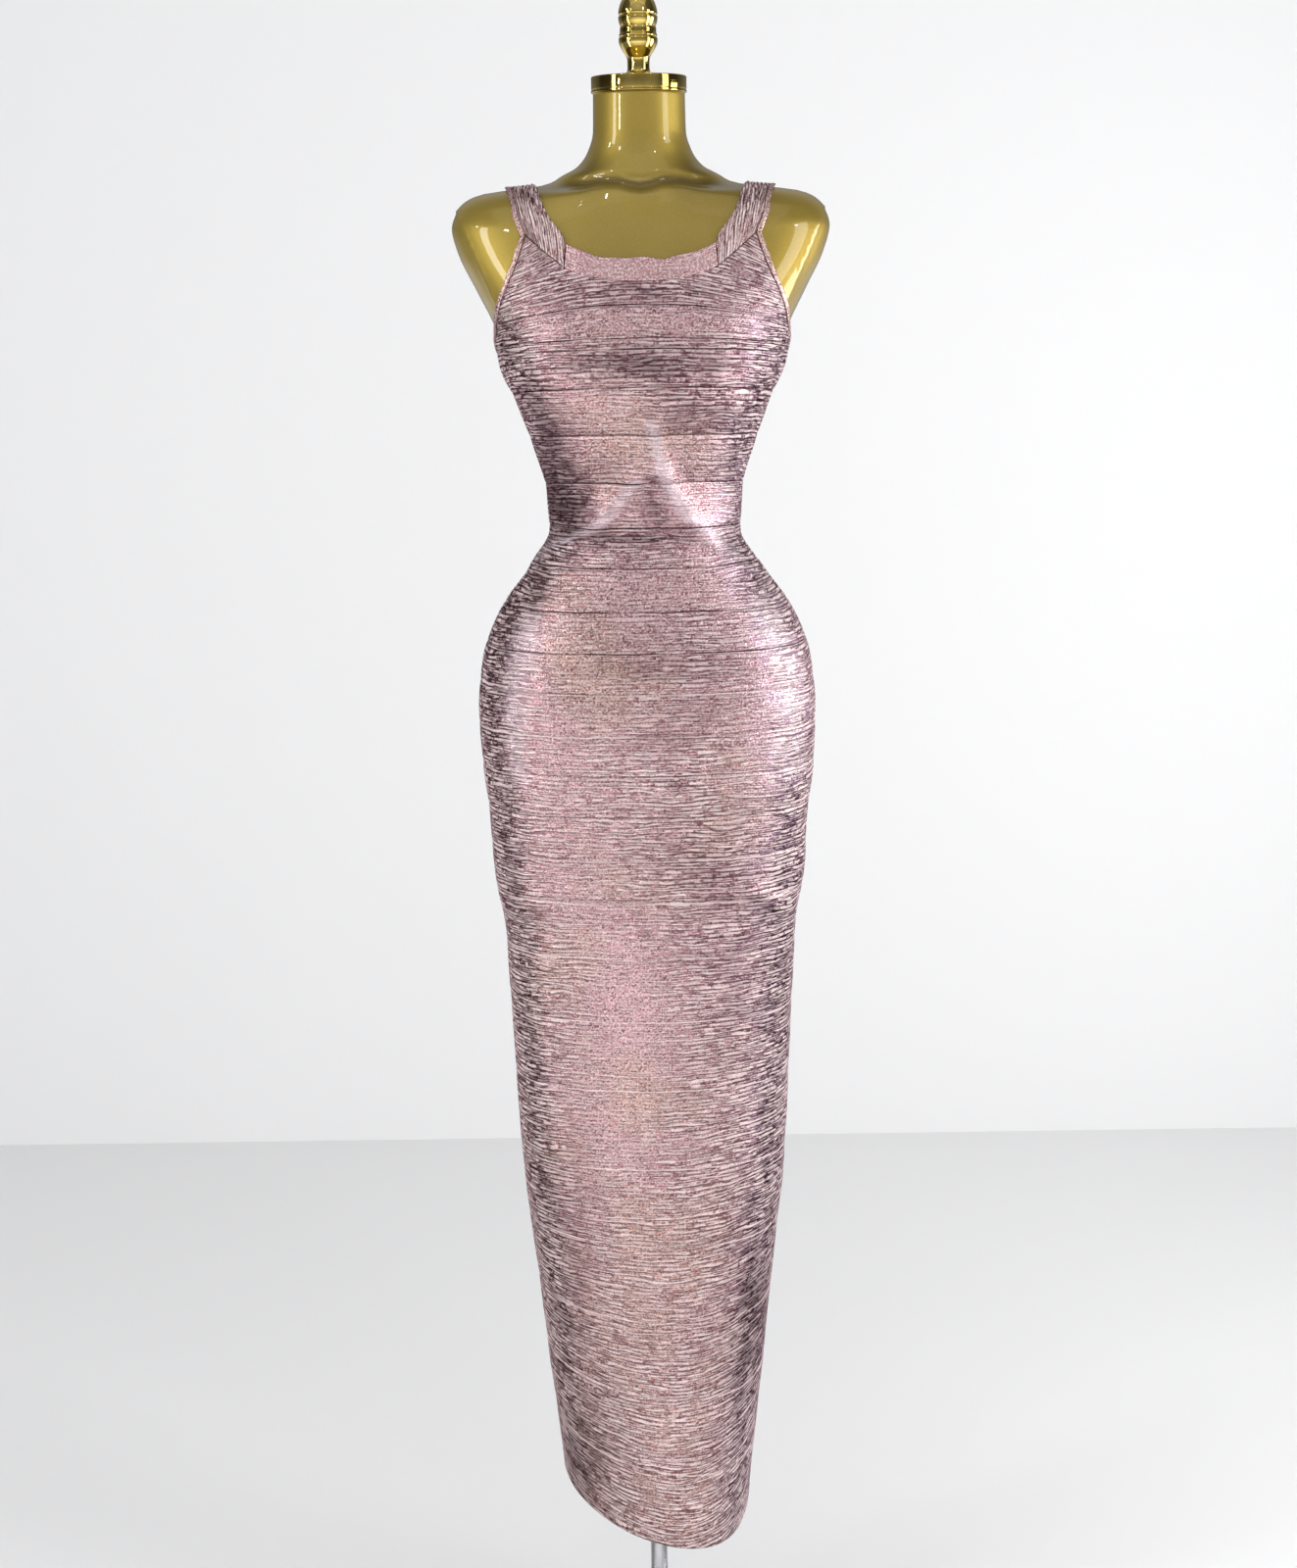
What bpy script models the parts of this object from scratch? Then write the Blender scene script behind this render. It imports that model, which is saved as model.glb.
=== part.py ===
"""Long sleeveless bandage dress, worn by a limbless dress form on a round stand.

The origin is the centre of the stand's base on the floor, +Z is up and the dress faces -Y.
All lengths are in metres and all angles in degrees.

One surface, the fitted surface, carries everything: the sections of a general figure, which
run on below the form as the hanging skirt. The form lies just inside it. Each piece of the
dress is a wall that stands on it, laid out as a grid of points with the seams as its borders.
"""

import math
from functools import lru_cache

import bmesh
import bpy
import numpy as np

# ---------------------------------------------------------------- driving dimensions

# The fitted surface, one row for each level section. Depths are from the side line, y = 0.
# A power of 2 makes an ellipse, and more makes the section flatter with fuller corners.
SECTION_COLUMNS = ("height", "half_width", "front", "back", "front_power", "back_power")
SECTIONS = [
    # height, half_width, front, back, front_power, back_power
    (0.150, 0.0945, 0.105, 0.105, 2.1, 2.1),  # below the hem
    (0.212, 0.0985, 0.105, 0.105, 2.1, 2.1),  # hem
    (0.300, 0.1075, 0.102, 0.103, 2.1, 2.1),
    (0.450, 0.1230, 0.097, 0.098, 2.2, 2.1),
    (0.600, 0.1375, 0.093, 0.094, 2.3, 2.1),  # calf
    (0.740, 0.1435, 0.092, 0.093, 2.4, 2.2),
    (0.850, 0.1495, 0.094, 0.095, 2.5, 2.2),
    (0.888, 0.1565, 0.098, 0.102, 2.6, 2.2),  # foot of the form, thigh
    (0.960, 0.1610, 0.103, 0.113, 2.6, 2.2),
    (1.010, 0.1665, 0.108, 0.120, 2.6, 2.2),
    (1.070, 0.1685, 0.110, 0.124, 2.6, 2.2),  # hip
    (1.120, 0.1630, 0.107, 0.119, 2.5, 2.2),
    (1.170, 0.1420, 0.097, 0.105, 2.4, 2.2),
    (1.210, 0.1130, 0.084, 0.089, 2.3, 2.2),
    (1.243, 0.0935, 0.077, 0.077, 2.2, 2.2),  # waist
    (1.285, 0.0955, 0.083, 0.078, 2.2, 2.2),
    (1.330, 0.1075, 0.098, 0.086, 2.4, 2.2),
    (1.375, 0.1235, 0.113, 0.094, 2.6, 2.2),
    (1.405, 0.1375, 0.117, 0.099, 2.6, 2.2),  # bust
    (1.440, 0.1460, 0.111, 0.103, 2.5, 2.3),  # underarm
    (1.480, 0.1640, 0.097, 0.103, 2.5, 2.4),
    (1.515, 0.1800, 0.084, 0.097, 2.5, 2.4),
    (1.540, 0.1860, 0.076, 0.089, 2.5, 2.4),  # widest at the shoulders
    (1.557, 0.1805, 0.069, 0.080, 2.3, 2.2),
    (1.567, 0.1710, 0.064, 0.074, 2.0, 1.9),
    (1.5735, 0.1560, 0.060, 0.069, 1.75, 1.7),
    (1.577, 0.1330, 0.058, 0.066, 1.6, 1.6),
    (1.5795, 0.1080, 0.057, 0.064, 1.5, 1.5),  # shoulder line
    (1.5835, 0.0885, 0.056, 0.062, 1.6, 1.6),
    (1.590, 0.0770, 0.054, 0.059, 1.75, 1.75),
    (1.598, 0.0620, 0.051, 0.056, 1.9, 1.9),
    (1.612, 0.0515, 0.047, 0.050, 2.0, 2.0),
    (1.630, 0.0462, 0.045, 0.046, 2.0, 2.0),
    (1.665, 0.0455, 0.045, 0.045, 2.0, 2.0),  # neck top
]
CORNER_ROUNDING = 0.22  # share of a half-width over which a section's points are rounded off
FARTHEST = 0.30  # no point of the surface is farther than this from the inside
HALVINGS = 34  # steps in which a point is found on the surface
FINE_STEPS = 60  # steps round half a section, to measure along it

# The knitted bands of the dress, one row for each line between two bands, from the hem up.
# A line hangs lower at the sides by side_drop. The last one is level with the underarm.
BAND_LINES = [
    # height, side_drop
    (0.212, 0.000),  # hem
    (0.290, 0.000),
    (0.368, 0.000),
    (0.446, 0.000),
    (0.524, 0.000),
    (0.602, 0.000),
    (0.686, 0.000),
    (0.759, 0.000),
    (0.826, 0.000),
    (0.8845, 0.000),
    (0.9285, 0.000),
    (0.9715, 0.000),
    (1.014, 0.000),
    (1.0555, 0.000),
    (1.0965, 0.000),
    (1.135, 0.000),
    (1.174, 0.000),
    (1.215, 0.000),
    (1.2545, 0.003),
    (1.2995, 0.006),
    (1.346, 0.006),
    (1.391, 0.010),
    (1.431, 0.010),  # underarm
]
BAND_CROWN = 0.0010  # a band's middle stands this far above the lines beside it
CHEST_ROWS = 7  # rows of faces between the underarm line and the neck seam
CHEST_LINE_ROW = 4  # the row that is the chest's one band line

# The hem is tilted, and so are the bands above it, less and less up to TILT_TOP.
TILT_TOP = 0.602
HEM_FRONT_DROP = 0.28  # fall for each metre towards the front
HEM_RIGHT_DROP = 0.14  # fall for each metre towards +X
HEM_SIDE_RISE = 0.6  # and the rise of both sides, for each square metre
SKIRT_LEAN = 0.022  # the front of the hem is pulled this far towards +X

# Seam between a body panel and the armhole binding: the angle round from the side line.
ARMHOLE_SEAM = [
    # height, angle
    (1.421, 0.0),
    (1.429, 9.0),
    (1.442, 17.5),
    (1.475, 27.0),
    (1.505, 31.2),
    (1.533, 32.2),
]

# Neck of each panel. mitre is where strap, neckband and panel meet.
NECK = {
    "front": {"centre": 1.488, "mitre": 1.5017, "strap": 1.533, "band_top": 1.5094},
    "back": {"centre": 1.499, "mitre": 1.5080, "strap": 1.533, "band_top": 1.5215},
}
NECKBAND_DIP = 3.0  # power of the curve of a neckband's top edge
NECK_FLARE = 0.0015  # the neckband's top edge stands this far off the chest

# Strap edges over the shoulder, one row for each station, by the angle round an axis along X:
# 0 is straight forward, 90 straight up and 180 straight back.
STRAP_AXIS_HEIGHT = 1.490
STRAP_STATIONS = [
    # inner_angle, inner_x, outer_angle, outer_x
    (24.0, 0.0712, 44.0, 0.1155),  # front mitre
    (45.0, 0.0895, 58.0, 0.1195),
    (67.0, 0.0985, 74.0, 0.1240),
    (90.0, 0.1030, 90.0, 0.1260),  # top of the shoulder
    (112.0, 0.0995, 106.0, 0.1240),
    (134.0, 0.0900, 122.0, 0.1195),
    (153.0, 0.0735, 136.0, 0.1155),  # back mitre
]
STRAP_ROWS_A_STATION = 2

# Folds, one row each: a soft ridge, or a trough where the lift is below 0, along a line.
FOLDS = [
    # side, x, height, end_x, end_height, width, lift
    ("front", 0.022, 1.350, 0.034, 1.290, 0.012, 0.0040),  # bust to hip, +X side
    ("front", 0.034, 1.290, 0.088, 1.212, 0.013, 0.0045),
    ("front", -0.022, 1.300, -0.046, 1.262, 0.012, 0.0035),  # bust to hip, -X side
    ("front", -0.046, 1.262, -0.070, 1.238, 0.012, 0.0040),
    ("front", -0.062, 1.232, -0.012, 1.250, 0.009, -0.0015),  # across the waist
    ("front", -0.012, 1.250, 0.060, 1.240, 0.009, -0.0015),
    ("back", -0.060, 1.262, 0.060, 1.262, 0.014, 0.0040),  # small of the back
    ("back", -0.040, 1.300, 0.045, 1.296, 0.012, 0.0030),
    ("front", 0.100, 0.892, 0.140, 0.868, 0.010, 0.0030),  # over the form's foot
    ("back", -0.125, 0.880, -0.080, 0.862, 0.012, 0.0030),
    ("front", -0.050, 0.840, -0.058, 0.520, 0.030, -0.0050),  # hollows down the skirt
    ("back", 0.045, 0.830, 0.050, 0.500, 0.034, -0.0060),
]

WALL = 0.0016  # the cloth at a band line
SEAM_GAP = 0.0003
PANEL_COLUMNS = 20
STRAP_COLUMNS = 4
NECKBAND_ROWS = 2

# The armhole binding, folded over the edge: it runs from the seam in towards the armhole.
BINDING_WIDTH = 0.0050
BINDING_HEIGHT = 0.0025
BINDING_LIFT = 0.0002  # its underside stands this far off the fitted surface

# The form, inside the fitted surface.
FORM_FOOT = 0.872
FORM_TOP = 1.6655
FORM_EASE_BELOW = 0.0030  # clear of the dress body
FORM_EASE_ABOVE = 0.0012  # clear of the straps
FORM_EASE_HEIGHTS = (1.44, 1.52)  # where one ease turns into the other
FORM_COLUMNS = 16  # on each of its two halves
FORM_HEIGHTS = [
    # from, to, rows of faces
    (FORM_FOOT, 1.20, 7),
    (1.20, 1.28, 9),
    (1.28, 1.43, 6),
    (1.43, 1.54, 8),
    (1.54, 1.568, 4),
    (1.568, 1.592, 9),
    (1.592, 1.62, 4),
    (1.62, FORM_TOP, 3),
]
EDGE_ROUNDING = 0.004  # at the form's foot

CAP_RADIUS = 0.0462
CAP_HEIGHT = 0.0155
CAP_EDGE = 0.0012

# The finial's turned outline above the cap: height over the cap, radius.
FINIAL_OUTLINE = [
    (0.0770, 0.0070),
    (0.0745, 0.0110),
    (0.0725, 0.0134),
    (0.0680, 0.0162),
    (0.0634, 0.0178),
    (0.0580, 0.0188),
    (0.0558, 0.0179),
    (0.0545, 0.0189),
    (0.0510, 0.0186),
    (0.0475, 0.0175),
    (0.0455, 0.0168),
    (0.0440, 0.0174),
    (0.0408, 0.0174),
    (0.0375, 0.0184),
    (0.0360, 0.0178),
    (0.0345, 0.0187),
    (0.0307, 0.0186),
    (0.0270, 0.0172),
    (0.0233, 0.0152),
    (0.0195, 0.0126),
    (0.0167, 0.0112),
    (0.0140, 0.0107),
    (0.0065, 0.0108),
    (0.0032, 0.0120),
    (0.0000, 0.0145),
]
FINIAL_TOP_RISE = 0.0016

# The stand, piece on piece from the floor up: base, foot plate, pole, top plate.
BASE_RADIUS = 0.140
BASE_EDGE_HEIGHT = 0.007
BASE_CENTRE_HEIGHT = 0.012
BASE_EDGE_ROUNDING = 0.002
FOOT_PLATE_RADIUS = 0.032
FOOT_PLATE_HEIGHT = 0.010
FOOT_PLATE_BEVEL = 0.003
POLE_RADIUS = 0.0095
TOP_PLATE_RADIUS = 0.045
TOP_PLATE_HEIGHT = 0.006
TOP_PLATE_BEVEL = 0.001


# ---------------------------------------------------------------- smooth curves through tables


class SmoothCurve:
    """A smooth curve through a table's values that never overshoots them."""

    def __init__(self, knots, values):
        self.knots = np.array(knots, float)
        self.values = np.array(values, float)
        steps = np.diff(self.knots)
        rises = np.diff(self.values) / steps
        self.slopes = np.zeros(len(self.values))
        self.slopes[0], self.slopes[-1] = rises[0], rises[-1]
        for i in range(1, len(rises)):
            if rises[i - 1] * rises[i] > 0:
                before = 2 * steps[i] + steps[i - 1]
                after = steps[i] + 2 * steps[i - 1]
                mean = before / rises[i - 1] + after / rises[i]
                self.slopes[i] = (before + after) / mean

    def __call__(self, at):
        at = np.clip(at, self.knots[0], self.knots[-1])
        i = np.clip(np.searchsorted(self.knots, at, side="right") - 1, 0, len(self.knots) - 2)
        step = self.knots[i + 1] - self.knots[i]
        t = (at - self.knots[i]) / step
        start = (1 + 2 * t) * (1 - t) ** 2 * self.values[i] + t * (1 - t) ** 2 * step * self.slopes[i]
        end = t**2 * (3 - 2 * t) * self.values[i + 1] - t**2 * (1 - t) * step * self.slopes[i + 1]
        return start + end


section_curves = {
    column: SmoothCurve([row[0] for row in SECTIONS], [row[k] for row in SECTIONS])
    for k, column in enumerate(SECTION_COLUMNS)
}
armhole_angle = SmoothCurve(*zip(*ARMHOLE_SEAM))


# ---------------------------------------------------------------- the fitted surface


def fullness(ratio, power):
    """0 at the middle of a section and 1 at its edge, with the points rounded off."""
    least = CORNER_ROUNDING**power
    most = (1 + CORNER_ROUNDING**2) ** (power / 2)
    return ((ratio**2 + CORNER_ROUNDING**2) ** (power / 2) - least) / (most - least)


def level(x, y, z):
    """1 on the fitted surface and less inside it."""
    in_front = np.asarray(y) < 0
    depth = np.where(in_front, section_curves["front"](z), section_curves["back"](z))
    power = np.where(in_front, section_curves["front_power"](z), section_curves["back_power"](z))
    return fullness(x / section_curves["half_width"](z), power) + fullness(y / depth, power)


def surface_along(start, direction):
    """The surface's points along rays from a start inside it."""
    near = np.zeros(len(direction))
    far = np.full(len(direction), FARTHEST)
    for _ in range(HALVINGS):
        middle = (near + far) / 2
        x, y, z = (start + direction * middle[:, None]).T
        inside = level(x, y, z) < 1
        near = np.where(inside, middle, near)
        far = np.where(inside, far, middle)
    return start + direction * near[:, None]


def facing(side):
    return -1.0 if side == "front" else 1.0


def ring_points(side, height, angles):
    """Points of one level section, by their angles round from the +X side line."""
    turns = np.radians(angles)
    directions = np.stack([np.cos(turns), facing(side) * np.sin(turns), 0 * turns], axis=1)
    return surface_along(np.array([0.0, 0.0, height]), directions)


@lru_cache(maxsize=None)
def ring_span(side, height, columns):
    """Evenly spaced points of a panel's level section, from its +X border to its -X one."""
    edge = float(armhole_angle(height)) if height > ARMHOLE_SEAM[0][0] else 0.0
    return even_points(side, height, edge, columns)


def even_points(side, height, edge, columns):
    fine = np.linspace(edge, 180 - edge, FINE_STEPS + 1)
    points = ring_points(side, height, fine)
    along = np.concatenate([[0], np.cumsum(np.linalg.norm(np.diff(points, axis=0), axis=1))])
    angles = np.interp(np.linspace(0, along[-1], columns + 1), along, fine)
    return ring_points(side, height, angles)


def normals_at(points):
    """Outward normals of the fitted surface."""
    x, y, z = np.asarray(points, float).reshape(-1, 3).T
    reach = 0.0004
    # The front and the back differ at y = 0, so a slope is taken on one side of it.
    inward = np.where(y < 0, -reach, reach)
    slope = np.stack(
        [
            (level(x + reach, y, z) - level(x - reach, y, z)) / (2 * reach),
            (level(x, y + inward, z) - level(x, y, z)) / inward,
            (level(x, y, z + reach) - level(x, y, z - reach)) / (2 * reach),
        ],
        axis=1,
    )
    slope[np.abs(y) < 1e-7, 1] = 0
    slope /= np.linalg.norm(slope, axis=1)[:, None]
    return slope.reshape(np.shape(points))


def fold_lift(side, points):
    """How far the folds raise the cloth at these points."""
    x, _, z = points.T
    lift = np.zeros(len(points))
    for fold_side, start_x, start_z, end_x, end_z, width, height in FOLDS:
        if fold_side != side:
            continue
        run = np.array([end_x - start_x, end_z - start_z])
        share = np.clip(((x - start_x) * run[0] + (z - start_z) * run[1]) / (run @ run), 0, 1)
        away = np.hypot(x - start_x - share * run[0], z - start_z - share * run[1])
        lift += height * np.exp(-((away / width) ** 2))
    return lift


def stand_off(points, distance, side=None):
    """The points moved out along the surface's normals, and over the folds of a side."""
    flat = points.reshape(-1, 3)
    lift = np.ravel(distance) * np.ones(len(flat))
    if side:
        lift = lift + fold_lift(side, flat)
    return (flat + normals_at(flat) * lift[:, None]).reshape(points.shape)


# ---------------------------------------------------------------- scene, materials, meshes


def clear_scene():
    for item in list(bpy.data.objects):
        bpy.data.objects.remove(item, do_unlink=True)


def make_material(name, colour, roughness, metallic):
    material = bpy.data.materials.new(name)
    material.use_nodes = True
    shader = material.node_tree.nodes["Principled BSDF"]
    shader.inputs["Base Color"].default_value = (*colour, 1.0)
    shader.inputs["Roughness"].default_value = roughness
    shader.inputs["Metallic"].default_value = metallic
    material.diffuse_color = (*colour, 1.0)
    return material


def add_object(name, mesh, material, collection, parent):
    mesh.materials.append(material)
    mesh.shade_smooth()
    mesh.set_sharp_from_angle(angle=math.radians(50))
    item = bpy.data.objects.new(name, mesh)
    item.parent = parent
    collection.objects.link(item)
    return item


def mesh_from(name, work):
    """Turns a closed bmesh into a mesh whose faces look out."""
    if work.calc_volume(signed=True) < 0:
        bmesh.ops.reverse_faces(work, faces=work.faces)
    mesh = bpy.data.meshes.new(name)
    work.to_mesh(mesh)
    work.free()
    return mesh


def wall_mesh(name, outer, inner):
    """A closed wall between two grids of points of the same size."""
    rows, columns = outer.shape[:2]
    work = bmesh.new()
    out = [[work.verts.new(point) for point in row] for row in outer]
    inn = [[work.verts.new(point) for point in row] for row in inner]
    for r in range(rows - 1):
        for c in range(columns - 1):
            work.faces.new((out[r][c], out[r][c + 1], out[r + 1][c + 1], out[r + 1][c]))
            work.faces.new((inn[r][c], inn[r + 1][c], inn[r + 1][c + 1], inn[r][c + 1]))
    border = [(0, c) for c in range(columns)]
    border += [(r, columns - 1) for r in range(1, rows)]
    border += [(rows - 1, c) for c in range(columns - 2, -1, -1)]
    border += [(r, 0) for r in range(rows - 2, 0, -1)]
    for (r, c), (next_r, next_c) in zip(border, border[1:] + border[:1]):
        work.faces.new((out[next_r][next_c], out[r][c], inn[r][c], inn[next_r][next_c]))
    return mesh_from(name, work)


def loft_mesh(name, rings, closed=False):
    """A skin over rings of points, capped at both ends or joined end to end."""
    work = bmesh.new()
    loops = [[work.verts.new(point) for point in ring] for ring in rings]
    pairs = list(zip(loops, loops[1:])) + ([(loops[-1], loops[0])] if closed else [])
    count = len(loops[0])
    for lower, upper in pairs:
        for c in range(count):
            n = (c + 1) % count
            work.faces.new((lower[c], lower[n], upper[n], upper[c]))
    if not closed:
        work.faces.new(loops[0][::-1])
        work.faces.new(loops[-1])
    return mesh_from(name, work)


def turned_object(name, outline, steps, material, collection, parent):
    """A turned piece: an outline of (radius, height) from its top to its bottom, spun round Z."""
    work = bmesh.new()
    verts = [work.verts.new((radius, 0, height)) for radius, height in outline]
    for first, second in zip(verts, verts[1:]):
        work.edges.new((first, second))
    mesh = bpy.data.meshes.new(name)
    work.to_mesh(mesh)
    work.free()
    item = add_object(name, mesh, material, collection, parent)
    screw = item.modifiers.new("Turn", "SCREW")
    screw.axis = "Z"
    screw.angle = math.tau
    screw.steps = steps
    screw.render_steps = steps
    screw.use_merge_vertices = True
    screw.merge_threshold = 0.00005
    screw.use_smooth_shade = True


# ---------------------------------------------------------------- the dress body


def neck_seam_height(side, share):
    """Height of a panel's top border. share is 0 at the centre and 1 at the armhole."""
    neck = NECK[side]
    mitre_share = 1 - 2 * STRAP_COLUMNS / PANEL_COLUMNS
    if share <= mitre_share:
        return neck["centre"] + (neck["mitre"] - neck["centre"]) * (share / mitre_share) ** 2
    along_strap = (share - mitre_share) / (1 - mitre_share)
    return neck["mitre"] + (neck["strap"] - neck["mitre"]) * along_strap


def hem_tilt(height, x, y):
    strength = max(0.0, (TILT_TOP - height) / (TILT_TOP - BAND_LINES[0][0]))
    return strength * (HEM_FRONT_DROP * y - HEM_RIGHT_DROP * x + HEM_SIDE_RISE * x**2)


def skirt_lean(points):
    """Pulls the front of the skirt towards +X, more and more from the tilt's top to the hem."""
    strength = np.clip((TILT_TOP - points[:, 2]) / (TILT_TOP - BAND_LINES[0][0]), 0, 1)
    forward = np.clip(-points[:, 1] / section_curves["front"](points[:, 2]), 0, 1)
    points[:, 0] += SKIRT_LEAN * strength * forward**2
    return points


def band_row(side, height, side_drop):
    """One row of a panel below the underarm."""
    row = []
    for c in range(PANEL_COLUMNS + 1):
        share = abs(2 * c / PANEL_COLUMNS - 1)
        at = height - side_drop * share**2
        point = ring_span(side, at, PANEL_COLUMNS)[c]
        tilt = hem_tilt(height, point[0], point[1])
        if tilt:
            point = ring_span(side, round(at + tilt, 5), PANEL_COLUMNS)[c]
        row.append(point)
    return np.array(row)


def chest_row(side, rise):
    """One row above the underarm line, at rise 0, up to the neck seam, at rise 1."""
    base, drop = BAND_LINES[-1]
    centre = base + (NECK[side]["centre"] - base) * rise
    edge = base - drop + (NECK[side]["strap"] - base + drop) * rise**1.3
    row = []
    for c in range(PANEL_COLUMNS + 1):
        share = abs(2 * c / PANEL_COLUMNS - 1)
        seam_rise = neck_seam_height(side, share) - NECK[side]["centre"]
        seam_shape = seam_rise / (NECK[side]["strap"] - NECK[side]["centre"])
        shape = (1 - rise) * share**2 + rise * seam_shape
        at = round(centre + (edge - centre) * shape, 5)
        row.append(ring_span(side, at, PANEL_COLUMNS)[c])
    return np.array(row)


def panel_grid(side):
    """Rows of points from hem to neck seam, and how far each row stands up as a band."""
    rows, crowns = [], []
    for (low, low_drop), (high, high_drop) in zip(BAND_LINES, BAND_LINES[1:]):
        rows += [band_row(side, low, low_drop)]
        rows += [band_row(side, (low + high) / 2, (low_drop + high_drop) / 2)]
        crowns += [0.0, BAND_CROWN]
    for r in range(CHEST_ROWS + 1):
        rows.append(chest_row(side, r / CHEST_ROWS))
        within = r / CHEST_LINE_ROW if r <= CHEST_LINE_ROW else (
            (r - CHEST_LINE_ROW) / (CHEST_ROWS - CHEST_LINE_ROW))
        crowns.append(BAND_CROWN * math.sin(math.pi * within))
    grid = np.array(rows)
    skirt_lean(grid.reshape(-1, 3))
    return grid, np.array(crowns)


def trimmed(grid, top=True, bottom=True, start=True, end=True):
    """The grid with these borders moved in by half a seam gap."""
    grid = grid.copy()
    borders = []
    if bottom:
        borders.append((grid[0], grid[1]))
    if top:
        borders.append((grid[-1], grid[-2]))
    if start:
        borders.append((grid[:, 0], grid[:, 1]))
    if end:
        borders.append((grid[:, -1], grid[:, -2]))
    for border, beside in borders:
        inward = beside - border
        inward /= np.linalg.norm(inward, axis=1)[:, None]
        border += inward * SEAM_GAP / 2
    return grid


def make_panel(side, grid, crowns, material, collection, parent):
    cut = trimmed(grid, bottom=False)
    raised = np.repeat(crowns[:, None], cut.shape[1], axis=1)
    inner = stand_off(cut, 0.0, side)
    outer = stand_off(cut, WALL + raised, side)
    name = f"{side}_body"
    add_object(name, wall_mesh(name, outer, inner), material, collection, parent)


# ---------------------------------------------------------------- straps and neckbands


def strap_angle(point):
    """The angle of a point round the straps' axis, from straight forward."""
    return math.degrees(math.atan2(point[2] - STRAP_AXIS_HEIGHT, -point[1]))


def strap_grid(front_grid, back_grid):
    """Rows of points over the +X shoulder, from the front seam to the back seam."""
    front_seam = front_grid[-1][:STRAP_COLUMNS + 1]
    back_seam = back_grid[-1][:STRAP_COLUMNS + 1]
    ends = [
        (strap_angle(seam[-1]), seam[-1][0], strap_angle(seam[0]), seam[0][0])
        for seam in (front_seam, back_seam)
    ]
    stations = np.array([ends[0], *STRAP_STATIONS, ends[1]])
    numbers = np.arange(len(stations))
    edges = [SmoothCurve(numbers, stations[:, k]) for k in range(stations.shape[1])]
    rows = []
    for at in np.arange(0, numbers[-1] + 1e-6, 1 / STRAP_ROWS_A_STATION):
        inner_angle, inner_x, outer_angle, outer_x = (float(edge(at)) for edge in edges)
        share = np.linspace(0, 1, STRAP_COLUMNS + 1)
        turns = np.radians(outer_angle + (inner_angle - outer_angle) * share)
        x = outer_x + (inner_x - outer_x) * share
        starts = np.stack([x, 0 * x, 0 * x + STRAP_AXIS_HEIGHT], axis=1)
        directions = np.stack([0 * x, -np.cos(turns), np.sin(turns)], axis=1)
        rows.append(surface_along(starts, directions))
    rows[0], rows[-1] = front_seam, back_seam
    return np.array(rows)


def neckband_grid(side, panel, strap):
    """Rows of points from the neck seam to the neckband's top edge, from +X to -X."""
    seam = panel[-1][STRAP_COLUMNS:-STRAP_COLUMNS]
    mitre = strap[:, -1] if side == "front" else strap[::-1, -1]
    rows = [seam]
    for r in range(1, NECKBAND_ROWS + 1):
        rise = r / NECKBAND_ROWS
        share = seam[:, 0] / seam[0, 0]
        edge = mitre[r]
        centre = NECK[side]["centre"] + (NECK[side]["band_top"] - NECK[side]["centre"]) * rise
        x = edge[0] * share
        z = centre + (edge[2] - centre) * np.abs(share) ** NECKBAND_DIP
        starts = np.stack([x, 0 * x, z], axis=1)
        directions = np.tile([0.0, facing(side), 0.0], (len(x), 1))
        rows.append(surface_along(starts, directions))
    return np.array(rows)


def mirrored(grid):
    return grid * np.array([-1.0, 1.0, 1.0])


def make_strap(name, grid, material, collection, parent):
    cut = trimmed(grid)
    mesh = wall_mesh(name, stand_off(cut, WALL + BAND_CROWN / 2), stand_off(cut, 0.0))
    add_object(name, mesh, material, collection, parent)


def make_neckband(side, grid, material, collection, parent):
    cut = trimmed(grid, top=False)
    rise = np.linspace(0, 1, len(grid))[:, None]
    centred = 1 - (grid[:, :, 0] / grid[0, 0, 0]) ** 2
    flare = NECK_FLARE * rise * centred
    name = f"neckband_{side}"
    mesh = wall_mesh(name, stand_off(cut, WALL + flare), stand_off(cut, flare))
    add_object(name, mesh, material, collection, parent)


def armhole_path(front, back, strap):
    """The closed seam line round the +X armhole, from underarm up the front and down the back."""
    first = len(front) - 1 - CHEST_ROWS
    up_front = front[first:-1, 0]
    over = strap[:, 0]
    down_back = back[first + 1:-1, 0][::-1]
    return np.concatenate([up_front, over, down_back])


def make_binding(name, path, material, collection, parent):
    normals = normals_at(path)
    along = np.roll(path, -1, axis=0) - np.roll(path, 1, axis=0)
    along /= np.linalg.norm(along, axis=1)[:, None]
    aside = np.cross(along, normals)
    aside /= np.linalg.norm(aside, axis=1)[:, None]
    profile = [
        # away from the seam, off the surface
        (SEAM_GAP, BINDING_LIFT),
        (BINDING_WIDTH * 0.85, BINDING_LIFT),
        (BINDING_WIDTH, BINDING_HEIGHT * 0.5),
        (BINDING_WIDTH * 0.8, BINDING_HEIGHT * 0.92),
        (BINDING_WIDTH * 0.45, BINDING_HEIGHT),
        (SEAM_GAP, BINDING_HEIGHT * 0.8),
    ]
    rings = [
        [path[i] + aside[i] * away + normals[i] * off for away, off in profile]
        for i in range(len(path))
    ]
    mesh = loft_mesh(name, rings, closed=True)
    add_object(name, mesh, material, collection, parent)


# ---------------------------------------------------------------- form and stand


def form_ease(height):
    low, high = FORM_EASE_HEIGHTS
    share = min(max((height - low) / (high - low), 0.0), 1.0)
    return FORM_EASE_BELOW + (FORM_EASE_ABOVE - FORM_EASE_BELOW) * share


def form_ring(height, inset):
    front = even_points("front", height, 0.0, FORM_COLUMNS)
    back = even_points("back", height, 0.0, FORM_COLUMNS)[::-1]
    return stand_off(np.concatenate([front[:-1], back[:-1]]), -inset)


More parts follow.
